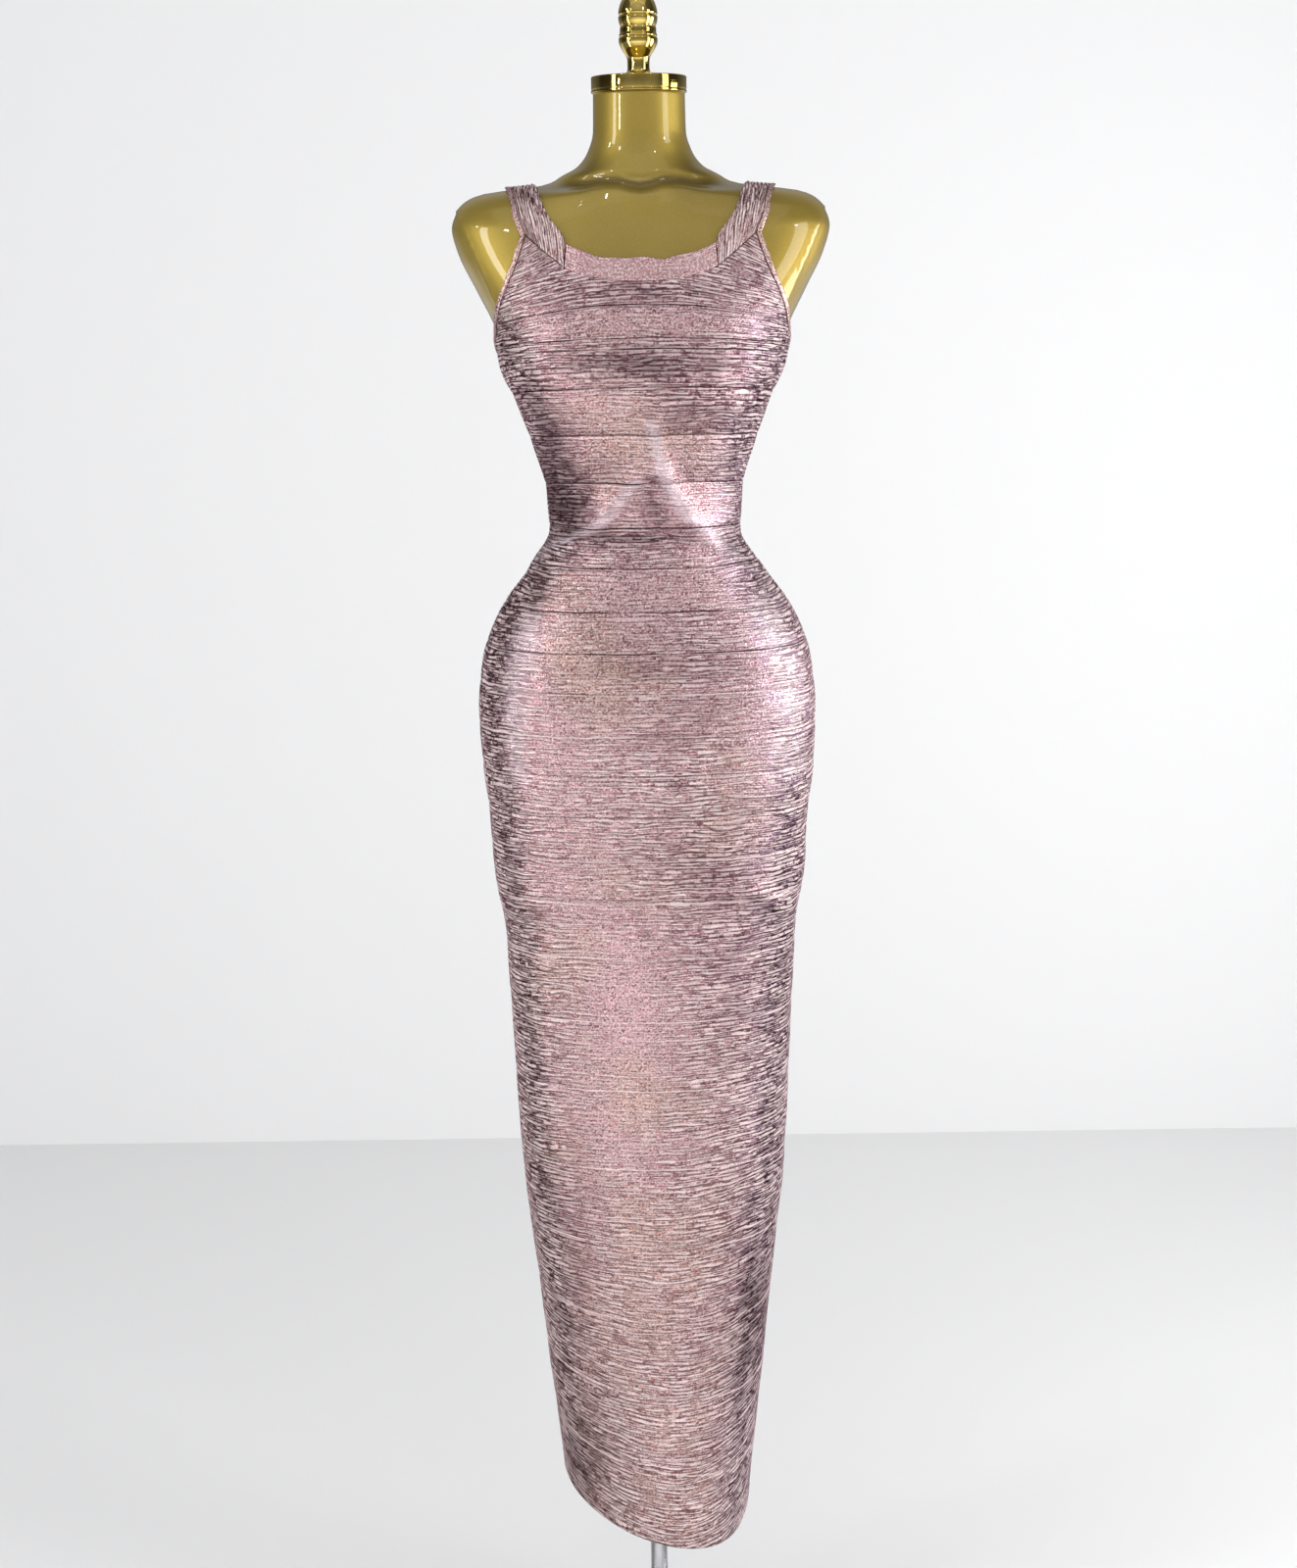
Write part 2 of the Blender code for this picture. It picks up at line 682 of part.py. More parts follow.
def make_form(material, collection, parent):
    heights = [FORM_FOOT + EDGE_ROUNDING]
    for low, high, rows in FORM_HEIGHTS:
        heights += list(np.linspace(low, high, rows + 1)[1:])
    rings = [form_ring(height, form_ease(height)) for height in heights]
    foot = form_ring(FORM_FOOT + EDGE_ROUNDING, form_ease(FORM_FOOT) + EDGE_ROUNDING)
    foot[:, 2] = FORM_FOOT
    rings[-1][:, 2] = FORM_TOP
    mesh = loft_mesh("form_torso", [foot, *rings])
    add_object("form_torso", mesh, material, collection, parent)


def make_cap(material, collection, parent):
    low = FORM_TOP + SEAM_GAP
    high = low + CAP_HEIGHT
    outline = [
        (0, high),
        (CAP_RADIUS - 2 * CAP_EDGE, high),
        (CAP_RADIUS - 0.3 * CAP_EDGE, high - 0.3 * CAP_EDGE),
        (CAP_RADIUS, high - CAP_EDGE),
        (CAP_RADIUS, low + CAP_EDGE),
        (CAP_RADIUS - CAP_EDGE, low),
        (0, low),
    ]
    turned_object("neck_cap", outline, 36, material, collection, parent)


def make_finial(material, collection, parent):
    foot = FORM_TOP + CAP_HEIGHT + 2 * SEAM_GAP
    outline = [(0, foot + FINIAL_OUTLINE[0][0] + FINIAL_TOP_RISE)]
    outline += [(radius, foot + height) for height, radius in FINIAL_OUTLINE]
    outline += [(0, foot)]
    turned_object("finial", outline, 20, material, collection, parent)


def make_base(material, collection, parent):
    flat_radius = FOOT_PLATE_RADIUS + 0.006
    outline = [
        (0, BASE_CENTRE_HEIGHT),
        (flat_radius, BASE_CENTRE_HEIGHT),
        (BASE_RADIUS - 2 * BASE_EDGE_ROUNDING, BASE_EDGE_HEIGHT),
        (BASE_RADIUS - 0.5 * BASE_EDGE_ROUNDING, BASE_EDGE_HEIGHT - 0.4 * BASE_EDGE_ROUNDING),
        (BASE_RADIUS, BASE_EDGE_HEIGHT - BASE_EDGE_ROUNDING),
        (BASE_RADIUS, BASE_EDGE_ROUNDING),
        (BASE_RADIUS - BASE_EDGE_ROUNDING, 0),
        (0, 0),
    ]
    turned_object("stand_base", outline, 48, material, collection, parent)


def make_foot_plate(material, collection, parent):
    low = BASE_CENTRE_HEIGHT + SEAM_GAP
    high = low + FOOT_PLATE_HEIGHT
    outline = [
        (0, high),
        (FOOT_PLATE_RADIUS - FOOT_PLATE_BEVEL, high),
        (FOOT_PLATE_RADIUS, high - FOOT_PLATE_BEVEL),
        (FOOT_PLATE_RADIUS, low),
        (0, low),
    ]
    turned_object("stand_foot_plate", outline, 28, material, collection, parent)
    return high


def make_top_plate(material, collection, parent):
    high = FORM_FOOT - SEAM_GAP
    low = high - TOP_PLATE_HEIGHT
    outline = [
        (0, high),
        (TOP_PLATE_RADIUS, high),
        (TOP_PLATE_RADIUS, low + TOP_PLATE_BEVEL),
        (TOP_PLATE_RADIUS - TOP_PLATE_BEVEL, low),
        (0, low),
    ]
    turned_object("stand_top_plate", outline, 28, material, collection, parent)
    return low


def make_stand(material, collection, parent):
    make_base(material, collection, parent)
    pole_foot = make_foot_plate(material, collection, parent) + SEAM_GAP
    pole_top = make_top_plate(material, collection, parent) - SEAM_GAP
    outline = [(0, pole_top), (POLE_RADIUS, pole_top), (POLE_RADIUS, pole_foot), (0, pole_foot)]
    turned_object("stand_pole", outline, 28, material, collection, parent)


# ---------------------------------------------------------------- assembly


def main():
    clear_scene()
    collection = bpy.data.collections.new("bodycon_dress")
    bpy.context.scene.collection.children.link(collection)
    root = bpy.data.objects.new("dress_on_form", None)
    collection.objects.link(root)

    foil_knit = make_material("foil_knit", (0.52, 0.30, 0.36), 0.35, 0.75)
    band_knit = make_material("band_knit", (0.66, 0.42, 0.47), 0.38, 0.65)
    binding_knit = make_material("binding_knit", (0.72, 0.50, 0.52), 0.45, 0.45)
    gold_paint = make_material("gold_paint", (0.42, 0.29, 0.08), 0.28, 0.55)
    polished_gold = make_material("polished_gold", (0.80, 0.58, 0.20), 0.08, 1.0)
    stand_steel = make_material("stand_steel", (0.66, 0.66, 0.67), 0.3, 1.0)

    front, front_crowns = panel_grid("front")
    back, back_crowns = panel_grid("back")
    make_panel("front", front, front_crowns, foil_knit, collection, root)
    make_panel("back", back, back_crowns, foil_knit, collection, root)

    strap = strap_grid(front, back)
    make_strap("strap_right", strap, foil_knit, collection, root)
    make_strap("strap_left", mirrored(strap), foil_knit, collection, root)
    for side, panel in (("front", front), ("back", back)):
        grid = neckband_grid(side, panel, strap)
        make_neckband(side, grid, band_knit, collection, root)

    path = armhole_path(front, back, strap)
    make_binding("armhole_binding_right", path, binding_knit, collection, root)
    make_binding("armhole_binding_left", mirrored(path)[::-1], binding_knit, collection, root)

    make_form(gold_paint, collection, root)
    make_cap(polished_gold, collection, root)
    make_finial(polished_gold, collection, root)
    make_stand(stand_steel, collection, root)


main()
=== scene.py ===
import math

import bmesh
import bpy
import numpy as np
from mathutils import Matrix, Vector


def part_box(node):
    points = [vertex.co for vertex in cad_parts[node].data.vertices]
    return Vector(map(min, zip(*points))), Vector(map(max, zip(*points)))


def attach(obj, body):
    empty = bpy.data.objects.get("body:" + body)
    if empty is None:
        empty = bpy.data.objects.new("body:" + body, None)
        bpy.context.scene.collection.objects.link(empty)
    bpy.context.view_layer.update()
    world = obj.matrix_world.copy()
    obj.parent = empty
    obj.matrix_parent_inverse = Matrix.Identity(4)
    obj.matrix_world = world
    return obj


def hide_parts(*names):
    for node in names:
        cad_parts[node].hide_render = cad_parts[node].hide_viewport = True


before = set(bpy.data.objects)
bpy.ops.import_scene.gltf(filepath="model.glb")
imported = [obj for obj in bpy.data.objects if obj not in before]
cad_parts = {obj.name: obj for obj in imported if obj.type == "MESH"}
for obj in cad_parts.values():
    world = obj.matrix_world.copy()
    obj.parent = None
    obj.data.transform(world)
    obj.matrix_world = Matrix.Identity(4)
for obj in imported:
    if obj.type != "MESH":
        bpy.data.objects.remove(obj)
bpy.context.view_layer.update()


# ---------------------------------------------------------------- camera and studio
# A plain pale floor and back wall, two tall soft boxes at the sides, one overhead, and a
# camera at chest height that looks a little down.

CAMERA_PLACE = (0.0, -2.358, 1.495)
CAMERA_LENS = 54.0  # millimetres
FILM_SIDE = 36.0
CAMERA_DIP = math.radians(12.23)
CAMERA_ROLL = math.radians(-0.8)
STUDIO_SIDE = 14.0
FLOOR_PLACE = (0, 0, -0.0005)
WALL_PLACE = (0, 1.59, STUDIO_SIDE / 2 - 0.5)

camera = bpy.data.objects.new("camera", bpy.data.cameras.new("camera"))
camera.data.lens = CAMERA_LENS
camera.data.sensor_width = FILM_SIDE
dip = Matrix.Rotation(math.pi / 2 - CAMERA_DIP, 3, "X")
camera.rotation_euler = (dip @ Matrix.Rotation(CAMERA_ROLL, 3, "Z")).to_euler()
camera.location = CAMERA_PLACE
bpy.context.scene.collection.objects.link(camera)
bpy.context.scene.camera = camera
bpy.context.scene.view_settings.view_transform = "Standard"


class Nodes:
    """Adds nodes to a tree. Each value is another node's socket, or a constant."""

    def __init__(self, tree):
        self.tree = tree

    def feed(self, socket, value):
        """Links a socket, or sets it; a colour is three numbers."""
        if isinstance(value, bpy.types.NodeSocket):
            self.tree.links.new(value, socket)
        elif socket.type == "RGBA":
            socket.default_value = (*value, 1)
        else:
            socket.default_value = value

    def add(self, kind, **values):
        """A node whose values go to the inputs of these titles, or else to its settings."""
        node = self.tree.nodes.new("ShaderNode" + kind)
        for title, value in values.items():
            socket = node.inputs.get(title.replace("_", " "))
            if socket is None:
                setattr(node, title, value)
            else:
                self.feed(socket, value)
        return node

    def place(self, group, **values):
        """A node group's outputs, with its own values."""
        return self.add("Group", node_tree=group.tree, **values).outputs

    def fac(self, name):
        """A mesh's own amount at each point."""
        return self.add("Attribute", attribute_name=name).outputs["Fac"]

    def scaled(self, vector, x, y, z=1):
        return self.add("Mapping", Vector=vector, Scale=(x, y, z)).outputs["Vector"]

    def noise(self, vector, scale, detail=2.0, roughness=0.5):
        node = self.add("TexNoise", Vector=vector, Scale=scale, Detail=detail, Roughness=roughness)
        return node.outputs["Fac"]

    def remap(self, value, low, high, to_low=0.0, to_high=1.0):
        """A value eased from one range into another."""
        node = self.add(
            "MapRange", interpolation_type="SMOOTHSTEP", Value=value,
            From_Min=low, From_Max=high, To_Min=to_low, To_Max=to_high,
        )
        return node.outputs["Result"]

    def spread(self, noise, to_low, to_high):
        """A noise's middle values spread over a range."""
        return self.remap(noise, 0.3, 0.7, to_low, to_high)

    def maths(self, operation, *values):
        node = self.add("Math", operation=operation)
        for socket, value in zip(node.inputs, values):
            self.feed(socket, value)
        return node.outputs[0]

    def plus(self, first, second):
        return self.maths("ADD", first, second)

    def times(self, product, *others):
        for other in others:
            product = self.maths("MULTIPLY", product, other)
        return product

    def larger(self, largest, *others):
        for other in others:
            largest = self.maths("MAXIMUM", largest, other)
        return largest

    def linear(self, value, slope, start):
        return self.maths("MULTIPLY_ADD", value, slope, start)

    def clamped(self, value):
        return self.maths("MINIMUM", self.larger(value, 0.0), 1.0)

    def mix(self, share, first, second, blend="MIX"):
        """Two colours mixed by a share."""
        node = self.add("Mix", data_type="RGBA", blend_type=blend)
        for k, value in ((0, share), (6, first), (7, second)):
            self.feed(node.inputs[k], value)
        return node.outputs[2]

    def mix_shaders(self, share, first, second, output):
        """Two shaders mixed by a share, as what the tree gives out."""
        node = self.add("MixShader")
        for socket, value in zip(node.inputs, (share, first, second)):
            self.feed(socket, value)
        self.feed(self.tree.nodes[output].inputs["Surface"], node.outputs[0])

    def bump(self, shader, height, distance):
        """A small relief on a shader, from a height in its own units of distance."""
        bump = self.add("Bump", Height=height, Distance=distance)
        self.feed(shader.inputs["Normal"], bump.outputs["Normal"])


def new_material(name, **constants):
    """A material, its nodes, and its main shader with these constants."""
    material = bpy.data.materials.new(name)
    material.use_nodes = True
    nodes = Nodes(material.node_tree)
    shader = material.node_tree.nodes["Principled BSDF"]
    for title, value in constants.items():
        nodes.feed(shader.inputs[title.replace("_", " ")], value)
    return material, nodes, shader


def mesh_of(work, mesh):
    """Writes the finished work into a mesh."""
    work.to_mesh(mesh)
    work.free()
    return mesh


def studio_surface(name, tone, place, tilt):
    """A large flat pale surface, clear from behind, that mirrors nothing into gold and foil."""
    work = bmesh.new()
    bmesh.ops.create_grid(work, x_segments=1, y_segments=1, size=STUDIO_SIDE / 2)
    bmesh.ops.rotate(work, verts=work.verts, matrix=Matrix.Rotation(tilt, 3, "X"))
    bmesh.ops.translate(work, verts=work.verts, vec=place)
    mesh = mesh_of(work, bpy.data.meshes.new(name))
    material, nodes, shader = new_material(name, Base_Color=(tone,) * 3, Roughness=0.9)
    behind = nodes.add("NewGeometry").outputs["Backfacing"]
    clear = nodes.add("BsdfTransparent").outputs["BSDF"]
    nodes.mix_shaders(behind, shader.outputs["BSDF"], clear, "Material Output")
    mesh.materials.append(material)
    item = bpy.data.objects.new(name, mesh)
    bpy.context.scene.collection.objects.link(item)
    item.visible_glossy = False


studio_surface("studio_floor", 0.79, FLOOR_PLACE, 0.0)
studio_surface("studio_wall", 0.85, WALL_PLACE, math.pi / 2)


def soft_box(name, watts, width, height, place, aim, mirrored=True):
    """A rectangular lamp turned towards a height over the base; mirrored if gloss shows it."""
    lamp = bpy.data.lights.new(name, "AREA")
    lamp.shape = "RECTANGLE"
    lamp.size = width
    lamp.size_y = height
    lamp.energy = watts
    item = bpy.data.objects.new(name, lamp)
    item.rotation_euler = (Vector((0, 0, aim)) - Vector(place)).to_track_quat("-Z", "Y").to_euler()
    item.location = place
    item.visible_glossy = mirrored
    bpy.context.scene.collection.objects.link(item)


soft_box("box_left", 17, 0.28, 2.6, (-1.82, -0.95, 1.15), 0.95)
soft_box("box_right", 18, 0.55, 2.6, (1.90, -0.80, 1.15), 0.95)
soft_box("box_right_rear", 17, 0.70, 1.1, (1.95, 0.15, 1.20), 1.10)
soft_box("box_front", 3, 1.6, 1.2, (-0.3, -3.0, 2.3), 0.9, mirrored=False)
soft_box("box_top", 4, 2.6, 1.2, (0, -0.6, 3.1), 1.2)
LAMP_SIDE = 0.13
for name, place in (
    ("lamp_left", (-1.97, -1.74, 1.83)), ("lamp_left_high", (-1.66, -1.73, 2.71)),
    ("lamp_left_rear", (-2.25, -0.72, 2.65)), ("lamp_overhead", (-0.45, -1.25, 3.75)),
    ("lamp_right", (1.23, -1.95, 2.89)), ("lamp_right_rear", (2.24, -1.26, 2.50)),
):
    soft_box(name, 1.5, LAMP_SIDE, LAMP_SIDE, place, 1.5)

# The room round the studio: pale for the walls' own light. Gold and foil mirror a room that is
# darker at the sides than behind the camera and behind the dress, as between lit walls.
world = bpy.data.worlds.new("studio_room")
bpy.context.scene.world = world
world.use_nodes = True
room = Nodes(world.node_tree)
room_light = world.node_tree.nodes["Background"]
room.feed(room_light.inputs["Color"], (0.97, 0.98, 1.0))
room.feed(room_light.inputs["Strength"], 0.64)
room_axes = room.add("SeparateXYZ", Vector=room.add("TexCoord").outputs["Generated"]).outputs


def room_ramp(axis, tones):
    """Grey tones along one axis of the room, from -1 to 1."""
    spread = room.add("MapRange", Value=room_axes[axis], From_Min=-1.0)
    ramp = room.add("ValToRGB", Fac=spread.outputs["Result"])
    stops = ramp.color_ramp.elements
    ends = [(stops[0], tones[0]), (stops[1], tones[-1])]
    for stop, (place, tone) in ends:
        stop.position = (place + 1) / 2
        stop.color = (tone, tone, tone, 1)
    for place, tone in tones[1:-1]:
        stops.new((place + 1) / 2).color = (tone, tone, tone, 1)
    return ramp.outputs["Color"]


room_tones = room.mix(
    1.0,
    room_ramp("Y", [
        (-1.0, 0.85), (-0.78, 0.72), (-0.4, 0.15), (0.25, 0.10), (0.7, 0.50), (1.0, 0.62),
    ]),
    room_ramp("Z", [
        (-1.0, 0.62), (-0.66, 0.68), (-0.45, 0.92), (-0.3, 1.00), (-0.2, 0.52), (-0.1, 0.26),
        (0.1, 0.13), (0.3, 0.22), (0.6, 0.42), (1.0, 0.36),
    ]),
    "MULTIPLY",
)
mirrored_room = room.add("Background", Color=room_tones, Strength=2.0)
in_mirrors = room.add("LightPath").outputs["Is Glossy Ray"]
room.mix_shaders(in_mirrors, room_light.outputs[0], mirrored_room.outputs[0], "World Output")


# ---------------------------------------------------------------- the form's torso
# A limbless display form: a smooth glass-fibre shell in satin-gloss gold paint, from the neck to
# the thigh. It fills the dress, so its sections are the fitted surface that the dress stands on.

SECTIONS = [
    # height, half_width, front and back depth from the side line, front and back power:
    # a power of 2 is an ellipse, and more is squarer
    (0.150, 0.0945, 0.105, 0.105, 2.1, 2.1),  # below the hem
    (0.212, 0.0985, 0.105, 0.105, 2.1, 2.1),  # hem
    (0.300, 0.1075, 0.102, 0.103, 2.1, 2.1),
    (0.450, 0.1230, 0.097, 0.098, 2.2, 2.1),
    (0.600, 0.1375, 0.093, 0.094, 2.3, 2.1),  # calf
    (0.740, 0.1435, 0.092, 0.093, 2.4, 2.2),
    (0.850, 0.1495, 0.094, 0.095, 2.5, 2.2),
    (0.888, 0.1565, 0.098, 0.102, 2.6, 2.2),  # foot of the form, thigh
    (0.960, 0.1610, 0.103, 0.113, 2.6, 2.2),
    (1.010, 0.1665, 0.108, 0.120, 2.6, 2.2),
    (1.070, 0.1685, 0.110, 0.124, 2.6, 2.2),  # hip
    (1.120, 0.1630, 0.107, 0.119, 2.5, 2.2),
    (1.170, 0.1420, 0.097, 0.105, 2.4, 2.2),
    (1.210, 0.1130, 0.084, 0.089, 2.3, 2.2),
    (1.243, 0.0935, 0.077, 0.077, 2.2, 2.2),  # waist
    (1.285, 0.0955, 0.083, 0.078, 2.2, 2.2),
    (1.330, 0.1075, 0.098, 0.086, 2.4, 2.2),
    (1.375, 0.1235, 0.113, 0.094, 2.6, 2.2),
    (1.405, 0.1375, 0.117, 0.099, 2.6, 2.2),  # bust
    (1.440, 0.1460, 0.111, 0.103, 2.5, 2.3),  # underarm
    (1.480, 0.1640, 0.097, 0.103, 2.5, 2.4),
    (1.515, 0.1800, 0.084, 0.097, 2.5, 2.4),
    (1.540, 0.1860, 0.076, 0.089, 2.5, 2.4),  # widest at the shoulders
    (1.557, 0.1805, 0.069, 0.080, 2.3, 2.2),
    (1.567, 0.1710, 0.064, 0.074, 2.0, 1.9),
    (1.5735, 0.1560, 0.060, 0.069, 1.75, 1.7),
    (1.577, 0.1330, 0.058, 0.066, 1.6, 1.6),
    (1.5795, 0.1080, 0.057, 0.064, 1.5, 1.5),  # shoulder line
    (1.5835, 0.0885, 0.056, 0.062, 1.6, 1.6),
    (1.590, 0.0770, 0.054, 0.059, 1.75, 1.75),
    (1.598, 0.0620, 0.051, 0.056, 1.9, 1.9),
    (1.612, 0.0515, 0.047, 0.050, 2.0, 2.0),
    (1.630, 0.0462, 0.045, 0.046, 2.0, 2.0),
    (1.665, 0.0455, 0.045, 0.045, 2.0, 2.0),  # neck top
]
CORNER_ROUNDING = 0.22  # share of a half-width over which a section's points are rounded
FARTHEST = 0.30  # no point of the surface is farther than this from the inside
HALVINGS = 30
NORMAL_REACH = 0.0004
RING_SAMPLES = 121
SAME_POINT = 1e-6


class SmoothCurve:
    """A smooth curve through a table's values that never overshoots them."""

    def __init__(self, knots, values):
        self.knots = np.array(knots, float)
        self.values = np.array(values, float)
        steps = np.diff(self.knots)
        rises = np.diff(self.values) / steps
        self.slopes = np.zeros(len(self.values))
        self.slopes[0], self.slopes[-1] = rises[0], rises[-1]
        for i in range(1, len(rises)):
            if rises[i - 1] * rises[i] > 0:
                before = 2 * steps[i] + steps[i - 1]
                after = steps[i] + 2 * steps[i - 1]
                mean = before / rises[i - 1] + after / rises[i]
                self.slopes[i] = (before + after) / mean

    def __call__(self, at):
        at = np.clip(at, self.knots[0], self.knots[-1])
        i = np.clip(np.searchsorted(self.knots, at, side="right") - 1, 0, len(self.knots) - 2)
        step = self.knots[i + 1] - self.knots[i]
        t = (at - self.knots[i]) / step
        start = (1 + 2 * t) * (1 - t) ** 2 * self.values[i] + t * (1 - t) ** 2 * step * self.slopes[i]
        end = t**2 * (3 - 2 * t) * self.values[i + 1] - t**2 * (1 - t) * step * self.slopes[i + 1]
        return start + end


section_heights, *section_columns = zip(*SECTIONS)
half_width_at, *depths_and_powers = (SmoothCurve(section_heights, c) for c in section_columns)
front_depth, back_depth, front_power, back_power = depths_and_powers


def bell(away, power=2):
    """1 at the middle, and less to both sides of it."""
    return np.exp(-(away**power))


def part_way(value, low, high):
    """0 up to a low value, 1 from a high one, and even between them."""
    return np.clip((value - low) / (high - low), 0, 1)


def columns_of(*columns):
    """Columns of numbers side by side, such as x, y and z."""
    return np.stack(np.broadcast_arrays(*columns), axis=-1)


def fullness(ratio, power):
    """0 at the middle of a section and 1 at its edge, with the points rounded off."""
    least = CORNER_ROUNDING**power
    most = (1 + CORNER_ROUNDING**2) ** (power / 2)
    return ((ratio**2 + CORNER_ROUNDING**2) ** (power / 2) - least) / (most - least)


def level(x, y, z):
    """1 on the fitted surface and less inside it."""
    in_front = np.asarray(y) < 0
    depth = np.where(in_front, front_depth(z), back_depth(z))
    power = np.where(in_front, front_power(z), back_power(z))
    return fullness(x / half_width_at(z), power) + fullness(y / depth, power)


def surface_along(starts, directions):
    """The fitted surface's points along rays from starts inside it."""
    near = np.zeros(starts.shape[:-1])
    far = np.full(starts.shape[:-1], FARTHEST)
    for _ in range(HALVINGS):
        middle = (near + far) / 2
        points = starts + directions * middle[..., None]
        inside = level(points[..., 0], points[..., 1], points[..., 2]) < 1
        near = np.where(inside, middle, near)
        far = np.where(inside, far, middle)
    return starts + directions * near[..., None]


def at_angles(side, heights, angles):
    """Points of level sections, by their angles in degrees from the +X side line."""
    turns = np.radians(angles)
    outward = -1.0 if side == "front" else 1.0
    directions = columns_of(np.cos(turns), outward * np.sin(turns), 0)
    return surface_along(columns_of(0 * turns, 0, heights), directions)


def normals_at(points):
    """Outward normals of the fitted surface."""
    x, y, z = points[..., 0], points[..., 1], points[..., 2]
    reach = NORMAL_REACH
    inward = np.where(y < 0, -reach, reach)
    slope = columns_of(
        (level(x + reach, y, z) - level(x - reach, y, z)) / (2 * reach),
        (level(x, y + inward, z) - level(x, y, z)) / inward,
        (level(x, y, z + reach) - level(x, y, z - reach)) / (2 * reach),
    )
    slope[np.abs(y) < 1e-7, 1] = 0
    return slope / np.linalg.norm(slope, axis=-1)[..., None]


def stand_off(points, distance):
    """The points moved out along the fitted surface's normals."""
    return points + normals_at(points) * np.asarray(distance)[..., None]


def distance_along(points, axis=0):
    """How far each point is from the first one, along its row or column."""
    steps = np.linalg.norm(np.diff(points, axis=axis), axis=-1)
    start = np.zeros_like(np.take(steps, [0], axis=axis))
    return np.concatenate([start, np.cumsum(steps, axis=axis)], axis=axis)


def shares_on_ring(side, height, count, edge=0.0):
    """The angles of evenly spaced points round half a level section."""
    fine = np.linspace(edge, 180 - edge, RING_SAMPLES)
    along = distance_along(at_angles(side, height, fine))
    return np.interp(np.linspace(0, along[-1], count + 1), along, fine)


def skin_from_grid(name, points, rib_map=None, joined=False, **amounts):
    """A mesh over a grid of points, with a UV map in metres and named amounts at its points.

    joined closes the first and the last column of points, which are the same.
    """
    rows, columns = points.shape[:2]
    work = bmesh.new()
    bmesh.ops.create_grid(work, x_segments=columns - 1, y_segments=rows - 1, size=1.0)
    mesh = mesh_of(work, bpy.data.meshes.new(name))
    flat = np.empty(len(mesh.vertices) * 3)
    mesh.vertices.foreach_get("co", flat)
    column = np.rint((flat[0::3] + 1) / 2 * (columns - 1)).astype(int)
    row = np.rint((flat[1::3] + 1) / 2 * (rows - 1)).astype(int)
    mesh.vertices.foreach_set("co", points[row, column].ravel())
    if rib_map is not None:
        corner = np.empty(len(mesh.loops), int)
        mesh.loops.foreach_get("vertex_index", corner)
        layer = mesh.uv_layers.new(name="cloth")
        layer.data.foreach_set("uv", rib_map[row[corner], column[corner]].ravel())
    for title, values in amounts.items():
        layer = mesh.attributes.new(title, "FLOAT", "POINT")
        layer.data.foreach_set("value", values[row, column].astype(np.float32))
    work = bmesh.new()
    work.from_mesh(mesh)
    if joined:
        bmesh.ops.remove_doubles(work, verts=work.verts, dist=SAME_POINT)
    work.normal_update()
    if sum(face.normal.xy.dot(face.calc_center_median().xy) for face in work.faces) < 0:
        bmesh.ops.reverse_faces(work, faces=work.faces)
    mesh_of(work, mesh).shade_smooth()
    return mesh


def add_piece(name, mesh, slot, replaced, *materials):
    """A finished piece in the scene, riding on the one body."""
    for material in materials:
        mesh.materials.append(material)
    item = bpy.data.objects.new(name, mesh)
    bpy.context.scene.collection.objects.link(item)
    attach(item, "root")
    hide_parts(*replaced)
    return item


def node_group(name, outputs, **inputs):
    """A node group that reads a vector and some numbers: its nodes, inputs and outputs."""
    tree = bpy.data.node_groups.new(name, "ShaderNodeTree")
    tree.interface.new_socket("Vector", in_out="INPUT", socket_type="NodeSocketVector")
    for title, value in inputs.items():
        socket = tree.interface.new_socket(title, in_out="INPUT", socket_type="NodeSocketFloat")
        socket.default_value = value
    for title in outputs:
        tree.interface.new_socket(title, in_out="OUTPUT", socket_type="NodeSocketFloat")
    given = tree.nodes.new("NodeGroupInput").outputs
    return Nodes(tree), given, tree.nodes.new("NodeGroupOutput").inputs


# Handling marks: faint cloudy smears that change the gloss of every hard piece a little.
handling, given, result = node_group("handling_marks", ["Roughness"], Scale=9.0, Least=0.2, Most=0.3)
smear = handling.noise(given["Vector"], given["Scale"], detail=4.0)
smear = handling.add(
    "MapRange", Value=smear, From_Min=0.3, From_Max=0.7, To_Min=given["Least"], To_Max=given["Most"],
)
handling.feed(result["Roughness"], smear.outputs["Result"])


def hard_material(name, marks, **constants):
    """A hard piece's material, with handling marks in its gloss, and its points' own places."""
    material, nodes, shader = new_material(name, **constants)
    place = nodes.add("TexCoord").outputs["Object"]
    marks = nodes.place(handling, Vector=place, **marks)
    nodes.feed(shader.inputs["Roughness"], marks["Roughness"])
    return material, nodes, shader, place


gold_paint, nodes, shader, place = hard_material(
    "gold_paint", {"Scale": 7.0, "Least": 0.42, "Most": 0.50},
    Metallic=0.65, Coat_Weight=0.9, Coat_Roughness=0.02,
)
flake = nodes.noise(place, 1400, detail=1.0)
cloud = nodes.noise(place, 5.0, detail=3.0)
paint = nodes.mix(nodes.remap(cloud, 0.35, 0.65), (0.35, 0.240, 0.034), (0.43, 0.306, 0.050))
paint = nodes.mix(nodes.remap(flake, 0.45, 0.72, 0.0, 0.35), paint, (0.56, 0.43, 0.11))
# Painted shade: the paint darkens to a deep brown in the hollows above the collarbones and at the neck's
# foot.
paint = nodes.mix(nodes.fac("glaze"), paint, (0.075, 0.048, 0.006))
nodes.feed(shader.inputs["Base Color"], paint)
nodes.bump(shader, nodes.noise(place, 160, detail=1.0), 0.00006)  # orange peel

FORM_FOOT = 0.872
FORM_TOP = 1.6655
FORM_EASE_BELOW = 0.0030
FORM_EASE_ABOVE = 0.0012
FORM_EASE_HEIGHTS = (1.44, 1.52)
FORM_ROWS = 330
FORM_COLUMNS = 120  # on each of its two halves
FOOT_ROUNDING = 0.004

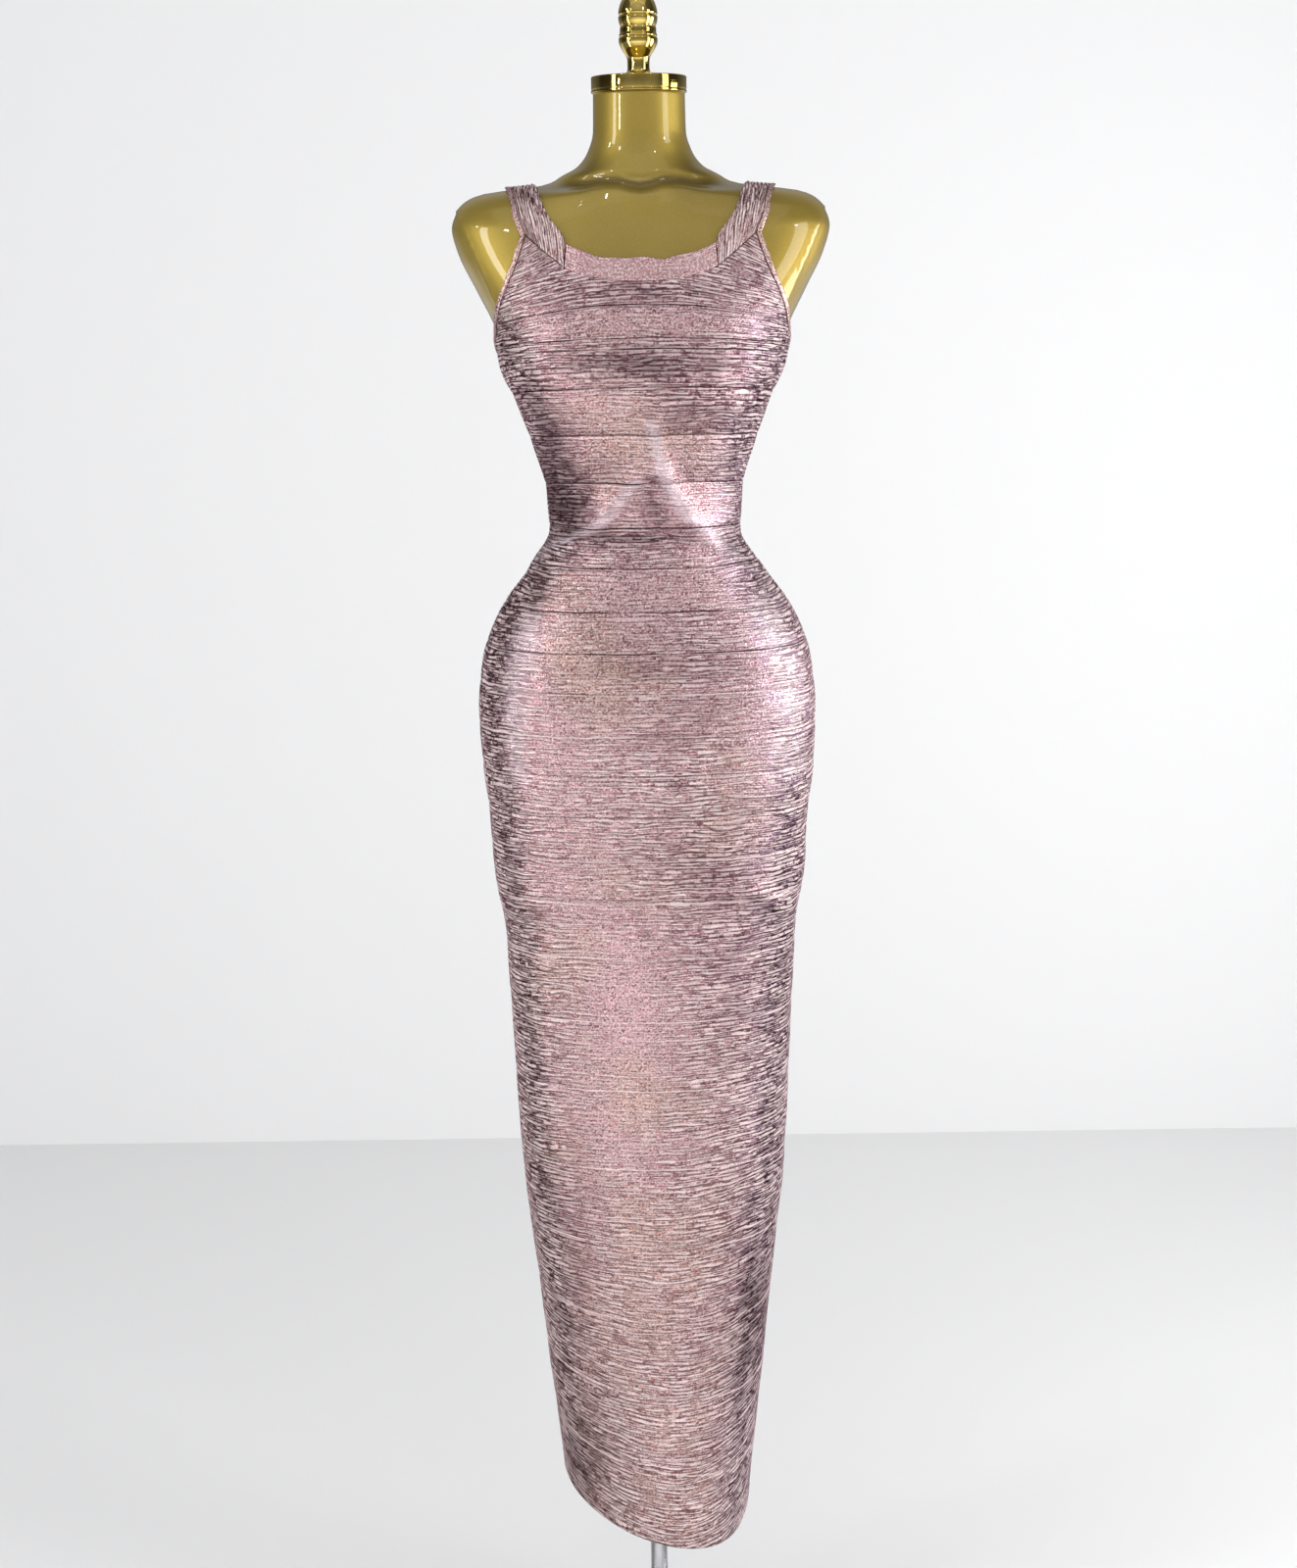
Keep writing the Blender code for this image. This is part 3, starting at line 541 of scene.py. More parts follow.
# Collarbones: a soft ridge whose line dips at the throat, and a hollow right above it.
COLLARBONE_LINE = [
    (0.0, 1.5725), (0.010, 1.5740), (0.022, 1.5775), (0.038, 1.5785), (0.060, 1.5745),
    (0.115, 1.5700),
]
COLLARBONE_REACH = 0.085
COLLARBONE_RELIEF = [(-0.004, 0.005, 0.0014), (0.0065, 0.0055, -0.0036)]  # above the line, width, rise
COLLARBONE_HEAD = (0.031, 1.5645, 0.013, 0.0016)  # x, height, radius and rise of its inner end
# Shoulder ends: the flat plate where an arm would be fixed starts at a fine raised rim.
SHOULDER_RIM_FOOT = (0.1365, 1.455)  # x and height
SHOULDER_RIM_SLOPE = 0.42
SHOULDER_RIM_WIDTH = 0.0012
SHOULDER_RIM_RISE = 0.0007
SHOULDER_RIM_FALL = 0.003
SHOULDER_RIM_HEIGHTS = (1.43, 1.565)
# Painted shade: the paint is darkened in the hollows above the collarbones and at the neck's foot, where
# shade falls.
GLAZE_HOLLOW = (0.0050, 0.0058, 0.11, 0.75)  # above the line, width, reach, share
GLAZE_NECK = (0.052, 1.592, 0.020, 0.55)  # x, height, radius, share
GLAZE_DEPTH = 0.03

collarbone = SmoothCurve(*zip(*COLLARBONE_LINE))


def torso_glaze(points):
    """How much painted shade darkens the paint."""
    x, z = np.abs(points[..., 0]), points[..., 2]
    rise, width, reach, share = GLAZE_HOLLOW
    glaze = share * bell((z - collarbone(x) - rise) / width) * bell(x / reach, 6)
    neck_x, neck_z, radius, share = GLAZE_NECK
    glaze = np.maximum(glaze, share * bell(np.hypot(x - neck_x, z - neck_z) / radius))
    return glaze * np.clip(-points[..., 1] / GLAZE_DEPTH, 0, 1)


def torso_relief(points):
    """How far the collarbones and the shoulders' rims rise."""
    x, z = np.abs(points[..., 0]), points[..., 2]
    above = z - collarbone(x)
    relief = sum(rise * bell((above - at) / width) for at, width, rise in COLLARBONE_RELIEF)
    head_x, head_z, radius, rise = COLLARBONE_HEAD
    relief = relief + rise * bell(np.hypot(x - head_x, z - head_z) / radius)
    relief = relief * bell(x / COLLARBONE_REACH, 4) * (points[..., 1] < 0)
    rim = x - SHOULDER_RIM_FOOT[0] - (z - SHOULDER_RIM_FOOT[1]) * SHOULDER_RIM_SLOPE
    beside = (z > SHOULDER_RIM_HEIGHTS[0]) & (z < SHOULDER_RIM_HEIGHTS[1])
    shape = bell(rim / SHOULDER_RIM_WIDTH) - part_way(rim, 0, SHOULDER_RIM_FALL)
    return relief + beside * SHOULDER_RIM_RISE * shape


heights = np.linspace(FORM_FOOT + FOOT_ROUNDING, FORM_TOP, FORM_ROWS)
rings = []
for height in heights:
    front = at_angles("front", height, shares_on_ring("front", height, FORM_COLUMNS))
    back = at_angles("back", height, shares_on_ring("back", height, FORM_COLUMNS))[::-1]
    rings.append(np.concatenate([front[:-1], back]))
rings = np.array(rings)
ease = FORM_EASE_BELOW + (FORM_EASE_ABOVE - FORM_EASE_BELOW) * part_way(heights, *FORM_EASE_HEIGHTS)
torso_points = stand_off(rings, torso_relief(rings) - ease[:, None])
torso_points[-1, :, 2] = FORM_TOP


def foot_ring(inward, up):
    """A ring of the form's rounded foot, by shares of its rounding."""
    ring = stand_off(rings[:1], -FORM_EASE_BELOW - inward * FOOT_ROUNDING)
    ring[..., 2] = FORM_FOOT + up * FOOT_ROUNDING
    return ring


torso_points = np.concatenate([foot_ring(1.0, 0.0), foot_ring(0.3, 0.3), torso_points])
torso_mesh = skin_from_grid("torso", torso_points, joined=True, glaze=torso_glaze(torso_points))
work = bmesh.new()
work.from_mesh(torso_mesh)
bmesh.ops.holes_fill(work, edges=work.edges, sides=0)
add_piece("torso", mesh_of(work, torso_mesh), "gold_paint", ["form_torso"], gold_paint)


# ---------------------------------------------------------------- the neck cap and the finial
# A spun brass cap with a fine joint line closes the neck, and a turned brass knob is screwed
# into it. Both are polished to a mirror and lacquered.

polished_gold, nodes, shader, place = hard_material(
    "polished_gold", {"Scale": 40.0, "Least": 0.05, "Most": 0.13},
    Metallic=1.0, Coat_Weight=0.3, Coat_Roughness=0.04,
)
tarnish = nodes.remap(nodes.noise(place, 45, detail=4.0), 0.4, 0.7)
brass = nodes.mix(tarnish, (0.74, 0.56, 0.16), (0.55, 0.39, 0.09))
nodes.feed(shader.inputs["Base Color"], brass)
turning_lines = nodes.noise(nodes.scaled(place, 20, 20, 4000), 1.0, detail=0.0)
nodes.bump(shader, turning_lines, 0.000012)

SHARP_FROM = math.radians(50)


def turned_piece(name, node, outline, steps, slot, material):
    """A turned piece: an outline of (radius, height) from its foot on the axis to its top."""
    work = bmesh.new()
    verts = [work.verts.new((radius, 0, height)) for radius, height in outline]
    edges = [work.edges.new(pair) for pair in zip(verts, verts[1:])]
    bmesh.ops.spin(
        work, geom=verts + edges, cent=(0, 0, 0), axis=(0, 0, 1), angle=math.tau,
        steps=steps, use_merge=True, use_normal_flip=False, use_duplicate=False,
    )
    bmesh.ops.remove_doubles(work, verts=work.verts, dist=SAME_POINT)
    bmesh.ops.recalc_face_normals(work, faces=work.faces)
    mesh = mesh_of(work, bpy.data.meshes.new(name))
    mesh.shade_smooth()
    mesh.set_sharp_from_angle(angle=SHARP_FROM)
    add_piece(name, mesh, slot, [node], material)


def rounded_outline(corners, radius, steps=4):
    """An outline whose inner corners are rounded off with small arcs."""
    corners = np.array(corners, float)
    outline = [corners[0]]
    for before, corner, after in zip(corners, corners[1:], corners[2:]):
        back, on = before - corner, after - corner
        back_length, on_length = np.linalg.norm(back), np.linalg.norm(on)
        reach = min(radius, back_length * 0.45, on_length * 0.45)
        start = corner + back / back_length * reach
        end = corner + on / on_length * reach
        for t in np.arange(steps + 1) / steps:
            outline.append((1 - t) ** 2 * start + 2 * t * (1 - t) * corner + t**2 * end)
    outline.append(corners[-1])
    return outline


# The cap's outline: a rolled lip, the joint line's groove, the side and the top's rounding.
CAP_SIDE = [(0, 0), (0, 0.0022), (0.0007, 0.0025), (0.0007, 0.0030), (0.0002, 0.0033)]  # inward, up
CAP_SHOULDER = [(0.0002, 0.0006), (0.0022, 0)]  # inward, down from the top
CAP_FLAT = 0.020
CAP_EDGE = 0.0006
cap_low, cap_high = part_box("neck_cap")
cap_outline = [(0, cap_low.z)]
cap_outline += [(cap_high.x - inward, cap_low.z + up) for inward, up in CAP_SIDE]
cap_outline += [(cap_high.x - inward, cap_high.z - down) for inward, down in CAP_SHOULDER]
cap_outline += [(CAP_FLAT, cap_high.z), (0, cap_high.z)]
cap_outline = rounded_outline(cap_outline, CAP_EDGE)
turned_piece("cap", "neck_cap", cap_outline, 96, "polished_gold", polished_gold)

FINIAL_OUTLINE = [
    # height over its foot, radius
    (0.0000, 0.0145), (0.0016, 0.0142), (0.0032, 0.0120), (0.0048, 0.0110), (0.0090, 0.0106),
    (0.0140, 0.0107), (0.0167, 0.0112), (0.0195, 0.0126), (0.0233, 0.0152), (0.0270, 0.0172),
    (0.0307, 0.0185), (0.0338, 0.0187), (0.0352, 0.0183), (0.0360, 0.0177), (0.0368, 0.0183),
    (0.0375, 0.0184), (0.0392, 0.0178), (0.0408, 0.0175), (0.0432, 0.0175), (0.0445, 0.0173),
    (0.0455, 0.0168), (0.0465, 0.0173), (0.0480, 0.0179), (0.0510, 0.0186), (0.0536, 0.0189),
    (0.0549, 0.0185), (0.0558, 0.0178), (0.0567, 0.0185), (0.0582, 0.0188), (0.0608, 0.0184),
    (0.0634, 0.0178), (0.0680, 0.0162), (0.0725, 0.0134), (0.0755, 0.0103), (0.0777, 0.0060),
    (0.0786, 0.0000),
]
finial_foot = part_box("finial")[0].z
knots = np.arange(len(FINIAL_OUTLINE))
fine = np.linspace(0, knots[-1], 3 * knots[-1] + 1)
up, radius = (SmoothCurve(knots, column)(fine) for column in zip(*FINIAL_OUTLINE))
finial_outline = [(0.0, finial_foot), *zip(radius, finial_foot + up)]
turned_piece("knob", "finial", finial_outline, 72, "polished_gold", polished_gold)


# ---------------------------------------------------------------- the stand
# A slim steel pole between two screwed plates, on a round steel base, all brushed to a satin.

stand_steel, nodes, shader, place = hard_material(
    "stand_steel", {"Scale": 18.0, "Least": 0.2, "Most": 0.34}, Metallic=0.9,
)
wear = nodes.remap(nodes.noise(place, 24, detail=5.0), 0.35, 0.7)
nodes.feed(shader.inputs["Base Color"], nodes.mix(wear, (0.72, 0.72, 0.74), (0.60, 0.60, 0.62)))
brush_marks = nodes.noise(nodes.scaled(place, 300, 300, 8), 1.0, detail=1.0)
nodes.bump(shader, brush_marks, 0.00002)

EDGE = 0.0012
BASE_EDGE = 0.0022
BASE_RIM = (0.003, 0.007, 0.0006)  # width of the rim's slope, its height and its rounding
BASE_BOSS = 0.038  # radius of the flat round the pole
FLANGE_SLOPE = 0.003

base_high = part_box("stand_base")[1]
rim_width, rim_height, rim_rounding = BASE_RIM
base_outline = rounded_outline(
    [
        (0, 0), (base_high.x, 0), (base_high.x, rim_height - rim_rounding),
        (base_high.x - rim_width, rim_height), (BASE_BOSS, base_high.z), (0, base_high.z),
    ],
    BASE_EDGE, 5,
)
turned_piece("base", "stand_base", base_outline, 128, "stand_steel", stand_steel)

for name, slope, steps in (("foot_plate", FLANGE_SLOPE, 96), ("top_plate", 0, 96), ("pole", 0, 64)):
    low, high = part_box(f"stand_{name}")
    rim = [(high.x, high.z - slope), (high.x - slope, high.z)] if slope else [(high.x, high.z)]
    outline = rounded_outline([(0, low.z), (high.x, low.z), *rim, (0, high.z)], EDGE)
    turned_piece(name, f"stand_{name}", outline, steps, "stand_steel", stand_steel)


# ---------------------------------------------------------------- the dress body
# Front and back panels of stretch knit, made of level bands, with a pink metallic foil pressed on.
# The ribs crack the foil into broken level streaks. The panels are sewn at the side lines.

# Heights of the lines between two bands, from the hem to the underarm.
BAND_LINES = [
    0.212, 0.290, 0.368, 0.446, 0.524, 0.602, 0.686, 0.759, 0.826, 0.8845, 0.9285, 0.9715,
    1.014, 1.0555, 1.0965, 1.135, 1.174, 1.215, 1.2545, 1.2995, 1.346, 1.391, 1.431,
]
TOP_DROPS = [0.003, 0.006, 0.006, 0.010, 0.010]  # how much lower the top lines are at the sides
CHEST_LINES = [1.4265, 1.4365, 1.467]  # the double line and the line above the bust
BELOW_HEM = 0.152  # where the band that the hem cuts, and the one that the neck cuts, would end
ABOVE_NECK = 1.53
STRAP_SEAM = 1.533  # height of the panels' outer corners
WALL = 0.0016
SHELL = 0.0012  # the cloth's own thickness, hung from the wall's outer side
LEAST_OFF = 0.0003  # where a trough and a rolled edge meet
SEAM_GAP = 0.0003
BAND_CROWN = 0.0007
NARROW_BAND = 0.03  # narrower bands rise less, down to the least share
LEAST_CROWN = 0.25
LOW_CROWN_SHARE = 0.35  # the skirt's bands are flatter, up to the height where they reach full crown
LOW_CROWN_HEIGHTS = (0.5, 0.75)
LINE_DEPTH = 0.0004
LINE_WIDTH = 0.0010
TILT_TOP = 0.602
HEM_FRONT_DROP = 0.28
HEM_RIGHT_DROP = 0.14
HEM_SIDE_RISE = 0.6
SKIRT_LEAN = 0.022
ARMHOLE_SEAM = [  # height, angle
    (1.421, 0.0), (1.429, 9.0), (1.442, 17.5), (1.475, 27.0), (1.505, 31.2), (1.533, 32.2),
]
ROLLED_SIDE = (0.0022, 0.0009)  # reach and depth of the roll along each border
ROLLED_SEAM = (0.0020, 0.0008)
ROLLED_HEM = (0.0020, 0.0006)
NECK = {"front": (1.488, 1.5017, 1.5094), "back": (1.499, 1.5080, 1.5215)}  # centre, mitre, band top
STRAP_SHARE = 0.2  # of the panel's width, at each end of the neck seam
PANEL_COLUMNS = 150
ROWS_A_BAND = 11
CHEST_ROWS = 66
ROW_CROWDING = 0.115  # rows crowd towards the lines between bands
OUTER_RISE_POWER = 1.3  # the chest's rows rise late at the armholes
RIB_DROP = 0.30  # above the underarm the ribs drop more and more to the sides
RIB_DROP_POWER = (2, 6)
ANGLE_HEIGHTS = np.linspace(0.15, 1.54, 280)
SIDES = {"front": 1.0, "back": -1.0}  # 1 where +X is on the right as seen from outside

# Folds, one row each: a soft ridge, or a trough where the lift is below 0, along a line, with a painted
# highlight along it where foil is above 0 and painted shade where it is below 0.
FOLDS = {
    "front": [
        # x, height, end_x, end_height, width, lift, foil: 1 for a painted highlight along its line, -1
        # for painted shade
        (0.008, 1.356, 0.017, 1.310, 0.010, 0.0030, 1.1),  # bust to hip, +X side
        (0.017, 1.310, 0.042, 1.263, 0.010, 0.0036, 1.2),
        (0.042, 1.263, 0.085, 1.221, 0.011, 0.0032, 0.75),
        (0.085, 1.221, 0.110, 1.204, 0.012, 0.0012, 0.6),
        (-0.008, 1.302, -0.036, 1.264, 0.011, 0.0034, 0.9),  # bust to hip, -X side
        (-0.036, 1.264, -0.048, 1.255, 0.010, 0.0034, 1.1),
        (-0.048, 1.255, -0.084, 1.235, 0.008, 0.0032, 1.2),
        (-0.084, 1.235, -0.110, 1.216, 0.009, 0.0018, 0.8),
        (-0.078, 1.229, -0.040, 1.243, 0.006, -0.0020, -1.0),  # troughs across the waist, with painted shade
        (-0.040, 1.243, 0.050, 1.244, 0.007, -0.0022, -0.8),
        (-0.058, 1.284, -0.074, 1.262, 0.014, -0.0022, -1.0),
        (0.004, 1.290, 0.016, 1.262, 0.010, -0.0012, -0.7),
        (0.100, 0.892, 0.140, 0.868, 0.008, 0.0030, 0.0),  # over the form's foot
        (-0.112, 1.162, -0.131, 1.100, 0.020, 0.0, 0.95),  # painted highlight bands down the hips, with no lift
        (-0.131, 1.100, -0.128, 1.010, 0.018, 0.0, 0.85),
        (0.116, 1.172, 0.140, 1.110, 0.024, 0.0, 1.00),
        (0.140, 1.110, 0.143, 1.010, 0.022, 0.0, 0.90),
        (-0.050, 0.840, -0.058, 0.520, 0.030, -0.0050, 0.0),  # a hollow down the skirt
    ],
    "back": [
        (-0.060, 1.262, 0.060, 1.262, 0.014, 0.0040, 0.5),  # small of the back, with a painted highlight
        (-0.040, 1.300, 0.045, 1.296, 0.012, 0.0030, 0.4),
        (-0.125, 0.880, -0.080, 0.862, 0.010, 0.0030, 0.0),  # over the form's foot
        (0.045, 0.830, 0.050, 0.500, 0.034, -0.0060, 0.0),  # a hollow down the skirt
    ],
}
GLEAM_WIDTH = 0.8  # share of a fold's width over which the painted light along it spreads
RIPPLES = [
    # height, and two crossed waves: radians a metre up and sideways, and the start of each
    (0.00035, 41, 17, 1.3, 9, 67, 0.0),
    (0.000245, 83, -31, 0.4, -11, 23, 2.0),
]

SIDE_DROPS = [0.0] * (len(BAND_LINES) - len(TOP_DROPS)) + TOP_DROPS
HEM_HEIGHT = BAND_LINES[0]
armhole_angle = SmoothCurve(*zip(*ARMHOLE_SEAM))
across = np.abs(np.linspace(-1, 1, PANEL_COLUMNS + 1))
# The even spacing of each panel's points at each height, as angles.
angle_tables = {
    side: np.array([
        shares_on_ring(side, height, PANEL_COLUMNS, armhole_angle(height)) for height in ANGLE_HEIGHTS
    ])
    for side in SIDES
}


def on_panel(side, heights):
    """A row of panel points, one at each column, at these heights."""
    table = angle_tables[side]
    last = len(ANGLE_HEIGHTS) - 1
    place = np.minimum(np.interp(heights, ANGLE_HEIGHTS, np.arange(last + 1)), last - 0.001)
    low = place.astype(int)
    share = place - low
    columns = np.arange(PANEL_COLUMNS + 1)
    angles = table[low, columns] * (1 - share) + table[low + 1, columns] * share
    return at_angles(side, heights, angles)


def band_row(side, height, side_drop):
    """One row of a band. Near the hem it tilts with the hem."""
    heights = height - side_drop * across**2
    x, y = on_panel(side, heights)[:, :2].T
    tilt = max(0.0, (TILT_TOP - height) / (TILT_TOP - HEM_HEIGHT))
    drop = HEM_FRONT_DROP * y - HEM_RIGHT_DROP * x + HEM_SIDE_RISE * x**2
    return on_panel(side, heights + tilt * drop)


def chest_row(side, rise):
    """One row between the underarm line, at rise 0, and the neck seam, at rise 1."""
    base, drop = BAND_LINES[-1], SIDE_DROPS[-1]
    centre, mitre, _ = NECK[side]
    inner = 1 - 2 * STRAP_SHARE
    seam = np.where(
        across <= inner,
        centre + (mitre - centre) * (across / inner) ** 2,
        mitre + (STRAP_SEAM - mitre) * (across - inner) / (1 - inner),
    )
    middle = base + (centre - base) * rise
    edge = base - drop + (STRAP_SEAM - base + drop) * rise**OUTER_RISE_POWER
    shape = (1 - rise) * across**2 + rise * (seam - centre) / (STRAP_SEAM - centre)
    return on_panel(side, middle + (edge - middle) * shape)


def panel_grid(side):
    """Rows of points from the hem to the neck seam, and each one's rib height."""
    rows, ribs = [], []
    even = np.linspace(0, 1, ROWS_A_BAND + 1)[:-1]
    steps = even - ROW_CROWDING * np.sin(math.tau * even)
    knots = np.arange(len(BAND_LINES))
    for at in (knots[:-1, None] + steps).ravel():
        height = np.interp(at, knots, BAND_LINES)
        rows.append(band_row(side, height, np.interp(at, knots, SIDE_DROPS)))
        ribs.append(np.full(PANEL_COLUMNS + 1, height))
    base, drop = BAND_LINES[-1], SIDE_DROPS[-1]
    for rise in np.arange(CHEST_ROWS + 1) / CHEST_ROWS:
        row = chest_row(side, rise)
        rows.append(row)
        over = np.clip(row[:, 2] - base + drop * across**2, 0, None)
        power = RIB_DROP_POWER[0] + RIB_DROP_POWER[1] * over
        ribs.append(row[:, 2] + (drop + RIB_DROP * over) * across**power)
    grid = np.array(rows)
    forward = np.clip(-grid[..., 1] / front_depth(grid[..., 2]), 0, 1)
    grid[..., 0] += SKIRT_LEAN * part_way(grid[..., 2], TILT_TOP, HEM_HEIGHT) * forward**2
    return grid, np.array(ribs)


def fold_lift(side, points):
    """How far the folds lift each point, and the painted light along them: highlight above 0, shade
    below 0.
    """
    x, z = points[..., 0], points[..., 2]
    lift = np.zeros(x.shape)
    gleam = np.zeros(x.shape)
    for start_x, start_z, end_x, end_z, width, height, foil in FOLDS[side]:
        run_x, run_z = end_x - start_x, end_z - start_z
        share = ((x - start_x) * run_x + (z - start_z) * run_z) / (run_x**2 + run_z**2)
        share = np.clip(share, 0, 1)
        away = np.hypot(x - start_x - share * run_x, z - start_z - share * run_z)
        lift += height * bell(away / width)
        own = foil * bell(away / (GLEAM_WIDTH * width))
        gleam = np.where(np.abs(own) > np.abs(gleam), own, gleam)
    return lift, gleam


def band_relief(ribs):
    """How far the bands stand up, and how far each point is from the nearest line between them."""
    lines = np.array([BELOW_HEM, *BAND_LINES[1:-1], *CHEST_LINES, ABOVE_NECK])
    i = np.clip(np.searchsorted(lines, ribs) - 1, 0, len(lines) - 2)
    span = lines[i + 1] - lines[i]
    t = np.clip((ribs - lines[i]) / span, 0, 1)
    share = np.clip(span / NARROW_BAND, LEAST_CROWN, 1)
    low, high = LOW_CROWN_HEIGHTS
    share = share * np.clip(LOW_CROWN_SHARE + (ribs - low) / (high - low), LOW_CROWN_SHARE, 1)
    crown = BAND_CROWN * np.sqrt(np.clip(4 * t * (1 - t), 0, 1)) * share
    offsets = ribs[..., None] - lines[1:-1]
    nearest = np.abs(offsets).argmin(axis=-1)
    from_line = np.take_along_axis(offsets, nearest[..., None], axis=-1)[..., 0]
    return crown - LINE_DEPTH * bell(from_line / LINE_WIDTH), from_line


def ripple(x, z):
    """Slow small swells, so that long highlights waver as they do on pulled knit."""
    return sum(
        height * np.sin(up * z + aside * x + start) * np.sin(up_too * z + aside_too * x + start_too)
        for height, up, aside, start, up_too, aside_too, start_too in RIPPLES
    )


# How whole the foil is, from 0, all cracked to streaks, to 1: soft patches on a panel. The whole patches
# are partly real and partly a painted sheen where the front faces the light.
LEAST_WHOLE = 0.12
WHOLE_AT_MIDDLE = 1.25  # less the cube of the share of the way to the side line, at most 1: a painted shade towards the sides
WHOLE_FOIL = {
    "front": [
        # x, height, half_width, half_height, share
        (-0.005, 1.45, 0.12, 0.017, 0.9), (-0.05, 1.37, 0.05, 0.034, 0.65),
        (-0.03, 1.335, 0.075, 0.03, 0.7), (0.03, 1.3, 0.026, 0.05, 0.8),
        (0.07, 1.265, 0.04, 0.05, 0.75), (-0.04, 1.28, 0.035, 0.03, 0.6),
        (0.0, 1.195, 0.11, 0.026, 0.85), (-0.055, 1.145, 0.085, 0.04, 0.7),
        (-0.075, 1.08, 0.06, 0.07, 0.6), (0.1, 1.085, 0.04, 0.12, 0.55),
        (0.02, 1.075, 0.08, 0.04, 0.4), (-0.07, 0.97, 0.06, 0.09, 0.5),
        (-0.07, 0.87, 0.05, 0.05, 0.55), (-0.025, 0.78, 0.055, 0.11, 0.9),
        (-0.035, 0.64, 0.07, 0.11, 0.7), (-0.01, 0.46, 0.07, 0.09, 0.35),
        (0.01, 0.3, 0.06, 0.08, 0.25),
    ],
    "back": [
        (0.0, 1.44, 0.11, 0.022, 0.7), (0.03, 1.33, 0.07, 0.06, 0.7),
        (-0.01, 1.17, 0.1, 0.04, 0.8), (-0.04, 1.05, 0.08, 0.07, 0.6),
        (0.05, 0.96, 0.07, 0.08, 0.6), (0.01, 0.78, 0.08, 0.12, 0.75),
        (-0.015, 0.56, 0.085, 0.12, 0.55),
    ],
}
# How far the foil is darkened, in the same way: partly worn down to the dark knit, partly painted shade
# where the dress turns from the light. A share below 0 takes away the painted shade towards the side
# lines.
WORN_FOIL = {
    "front": [
        (0.0, 1.478, 0.09, 0.01, 0.5), (0.005, 1.411, 0.088, 0.02, 0.68),
        (0.05, 1.368, 0.042, 0.024, 0.65), (-0.09, 1.335, 0.026, 0.06, 0.6),
        (-0.084, 1.278, 0.042, 0.046, 1.0), (0.012, 1.268, 0.02, 0.018, 0.6),
        (-0.02, 1.245, 0.075, 0.008, 0.7), (0.15, 1.11, 0.035, 0.075, -0.9),
        (0.12, 1.265, 0.036, 0.03, -0.45), (0.02, 1.122, 0.075, 0.016, 0.45),
        (0.03, 1.06, 0.08, 0.03, 0.3), (0.055, 0.92, 0.05, 0.05, 0.4),
        (0.095, 0.8, 0.04, 0.08, 0.35), (-0.085, 0.5, 0.028, 0.15, 0.4),
        (0.098, 0.43, 0.03, 0.13, 0.7), (-0.075, 0.27, 0.03, 0.06, 0.65),
    ],
    "back": [
        (0.01, 1.395, 0.08, 0.022, 0.7), (-0.02, 1.255, 0.06, 0.022, 0.6),
        (0.06, 1.1, 0.06, 0.03, 0.4), (-0.07, 0.88, 0.05, 0.05, 0.45),
        (0.07, 0.48, 0.04, 0.14, 0.45), (-0.05, 0.3, 0.05, 0.05, 0.4),
    ],
}


def patch_share(patches, points, least):
    """The sum of soft patches at a panel's points, from a least share up to 1."""
    share = np.full(points.shape[:-1], least)
    for x, z, half_width, half_height, amount in patches:
        away = ((points[..., 0] - x) / half_width) ** 2 + ((points[..., 2] - z) / half_height) ** 2
        share = share + (1 - share) * amount * np.exp(-away)
    return share


# Rib dashes: the knit's ribs, each broken along its length into bright dashes and dark cracks.
knit, given, result = node_group("rib_dashes", ["Light", "Dark"], Pitch=0.004, Dash=0.016, Seed=0.0)
axes = knit.add("SeparateXYZ", Vector=given["Vector"]).outputs
wander = knit.noise(knit.scaled(given["Vector"], 18, 55), 1.0, detail=3.0)
rib_phase = knit.linear(wander, 3.0, knit.maths("DIVIDE", axes["Y"], given["Pitch"]))
rib_phase = knit.plus(rib_phase, given["Seed"])
rib_along = knit.maths("DIVIDE", axes["X"], given["Dash"])


def dashes(offset, seed, thin, thick, least, most):
    """A mask of dashes: one line a rib, cut into lengths by a noise of the rib's own."""
    at = knit.plus(rib_phase, offset)
    rib = knit.maths("FLOOR", at)
    within = knit.maths("SINE", knit.times(knit.maths("SUBTRACT", at, rib), math.pi))
    place = knit.add("CombineXYZ", X=rib_along, Y=knit.linear(rib, 7.37, seed)).outputs[0]
    lengths = knit.noise(place, 1.0, detail=3.0, roughness=0.62)
    return knit.times(knit.remap(within, thin, thick), knit.remap(lengths, least, most))


knit.feed(result["Light"], dashes(0.0, 3.1, 0.58, 0.84, 0.45, 0.53))
knit.feed(result["Dark"], dashes(0.46, 91.7, 0.58, 0.88, 0.42, 0.54))

# Glitter: the fine grain of the foil, which is pressed into the stitches.
glitter, given, result = node_group("foil_glitter", ["Grain", "Spark"], Cell=0.0016)
cell_scale = glitter.maths("DIVIDE", 1.0, given["Cell"])
cells = glitter.add("TexVoronoi", Vector=given["Vector"], Scale=cell_scale).outputs["Color"]
glitter.feed(result["Grain"], glitter.noise(given["Vector"], cell_scale, detail=1.0))
glitter.feed(result["Spark"], glitter.add("SeparateColor", Color=cells).outputs["Red"])

FOIL_PINK = (0.72, 0.37, 0.425)
FOIL_PEACH = (0.74, 0.44, 0.33)
FOIL_LILAC = (0.62, 0.43, 0.66)
FOIL_BRIGHT = (1.0, 0.80, 0.79)
# FOIL_CREST: a painted highlight colour for the folds' crests.
FOIL_CREST = (0.98, 0.82, 0.90)
FOIL_CRACKED = (0.31, 0.135, 0.170)
FOIL_SPECK = (0.17, 0.062, 0.084)
# A colour both for foil worn down to the knit and for painted shade.
FOIL_WORN = (0.070, 0.030, 0.042)
FOIL_CRACK_LINE = (0.105, 0.036, 0.054)
BARE_KNIT = (0.030, 0.012, 0.018)
FOIL_TINT = (0.60, 0.42, 0.50)  # of the foil's own mirror at its edges
GLITTER_CELL = 0.0021


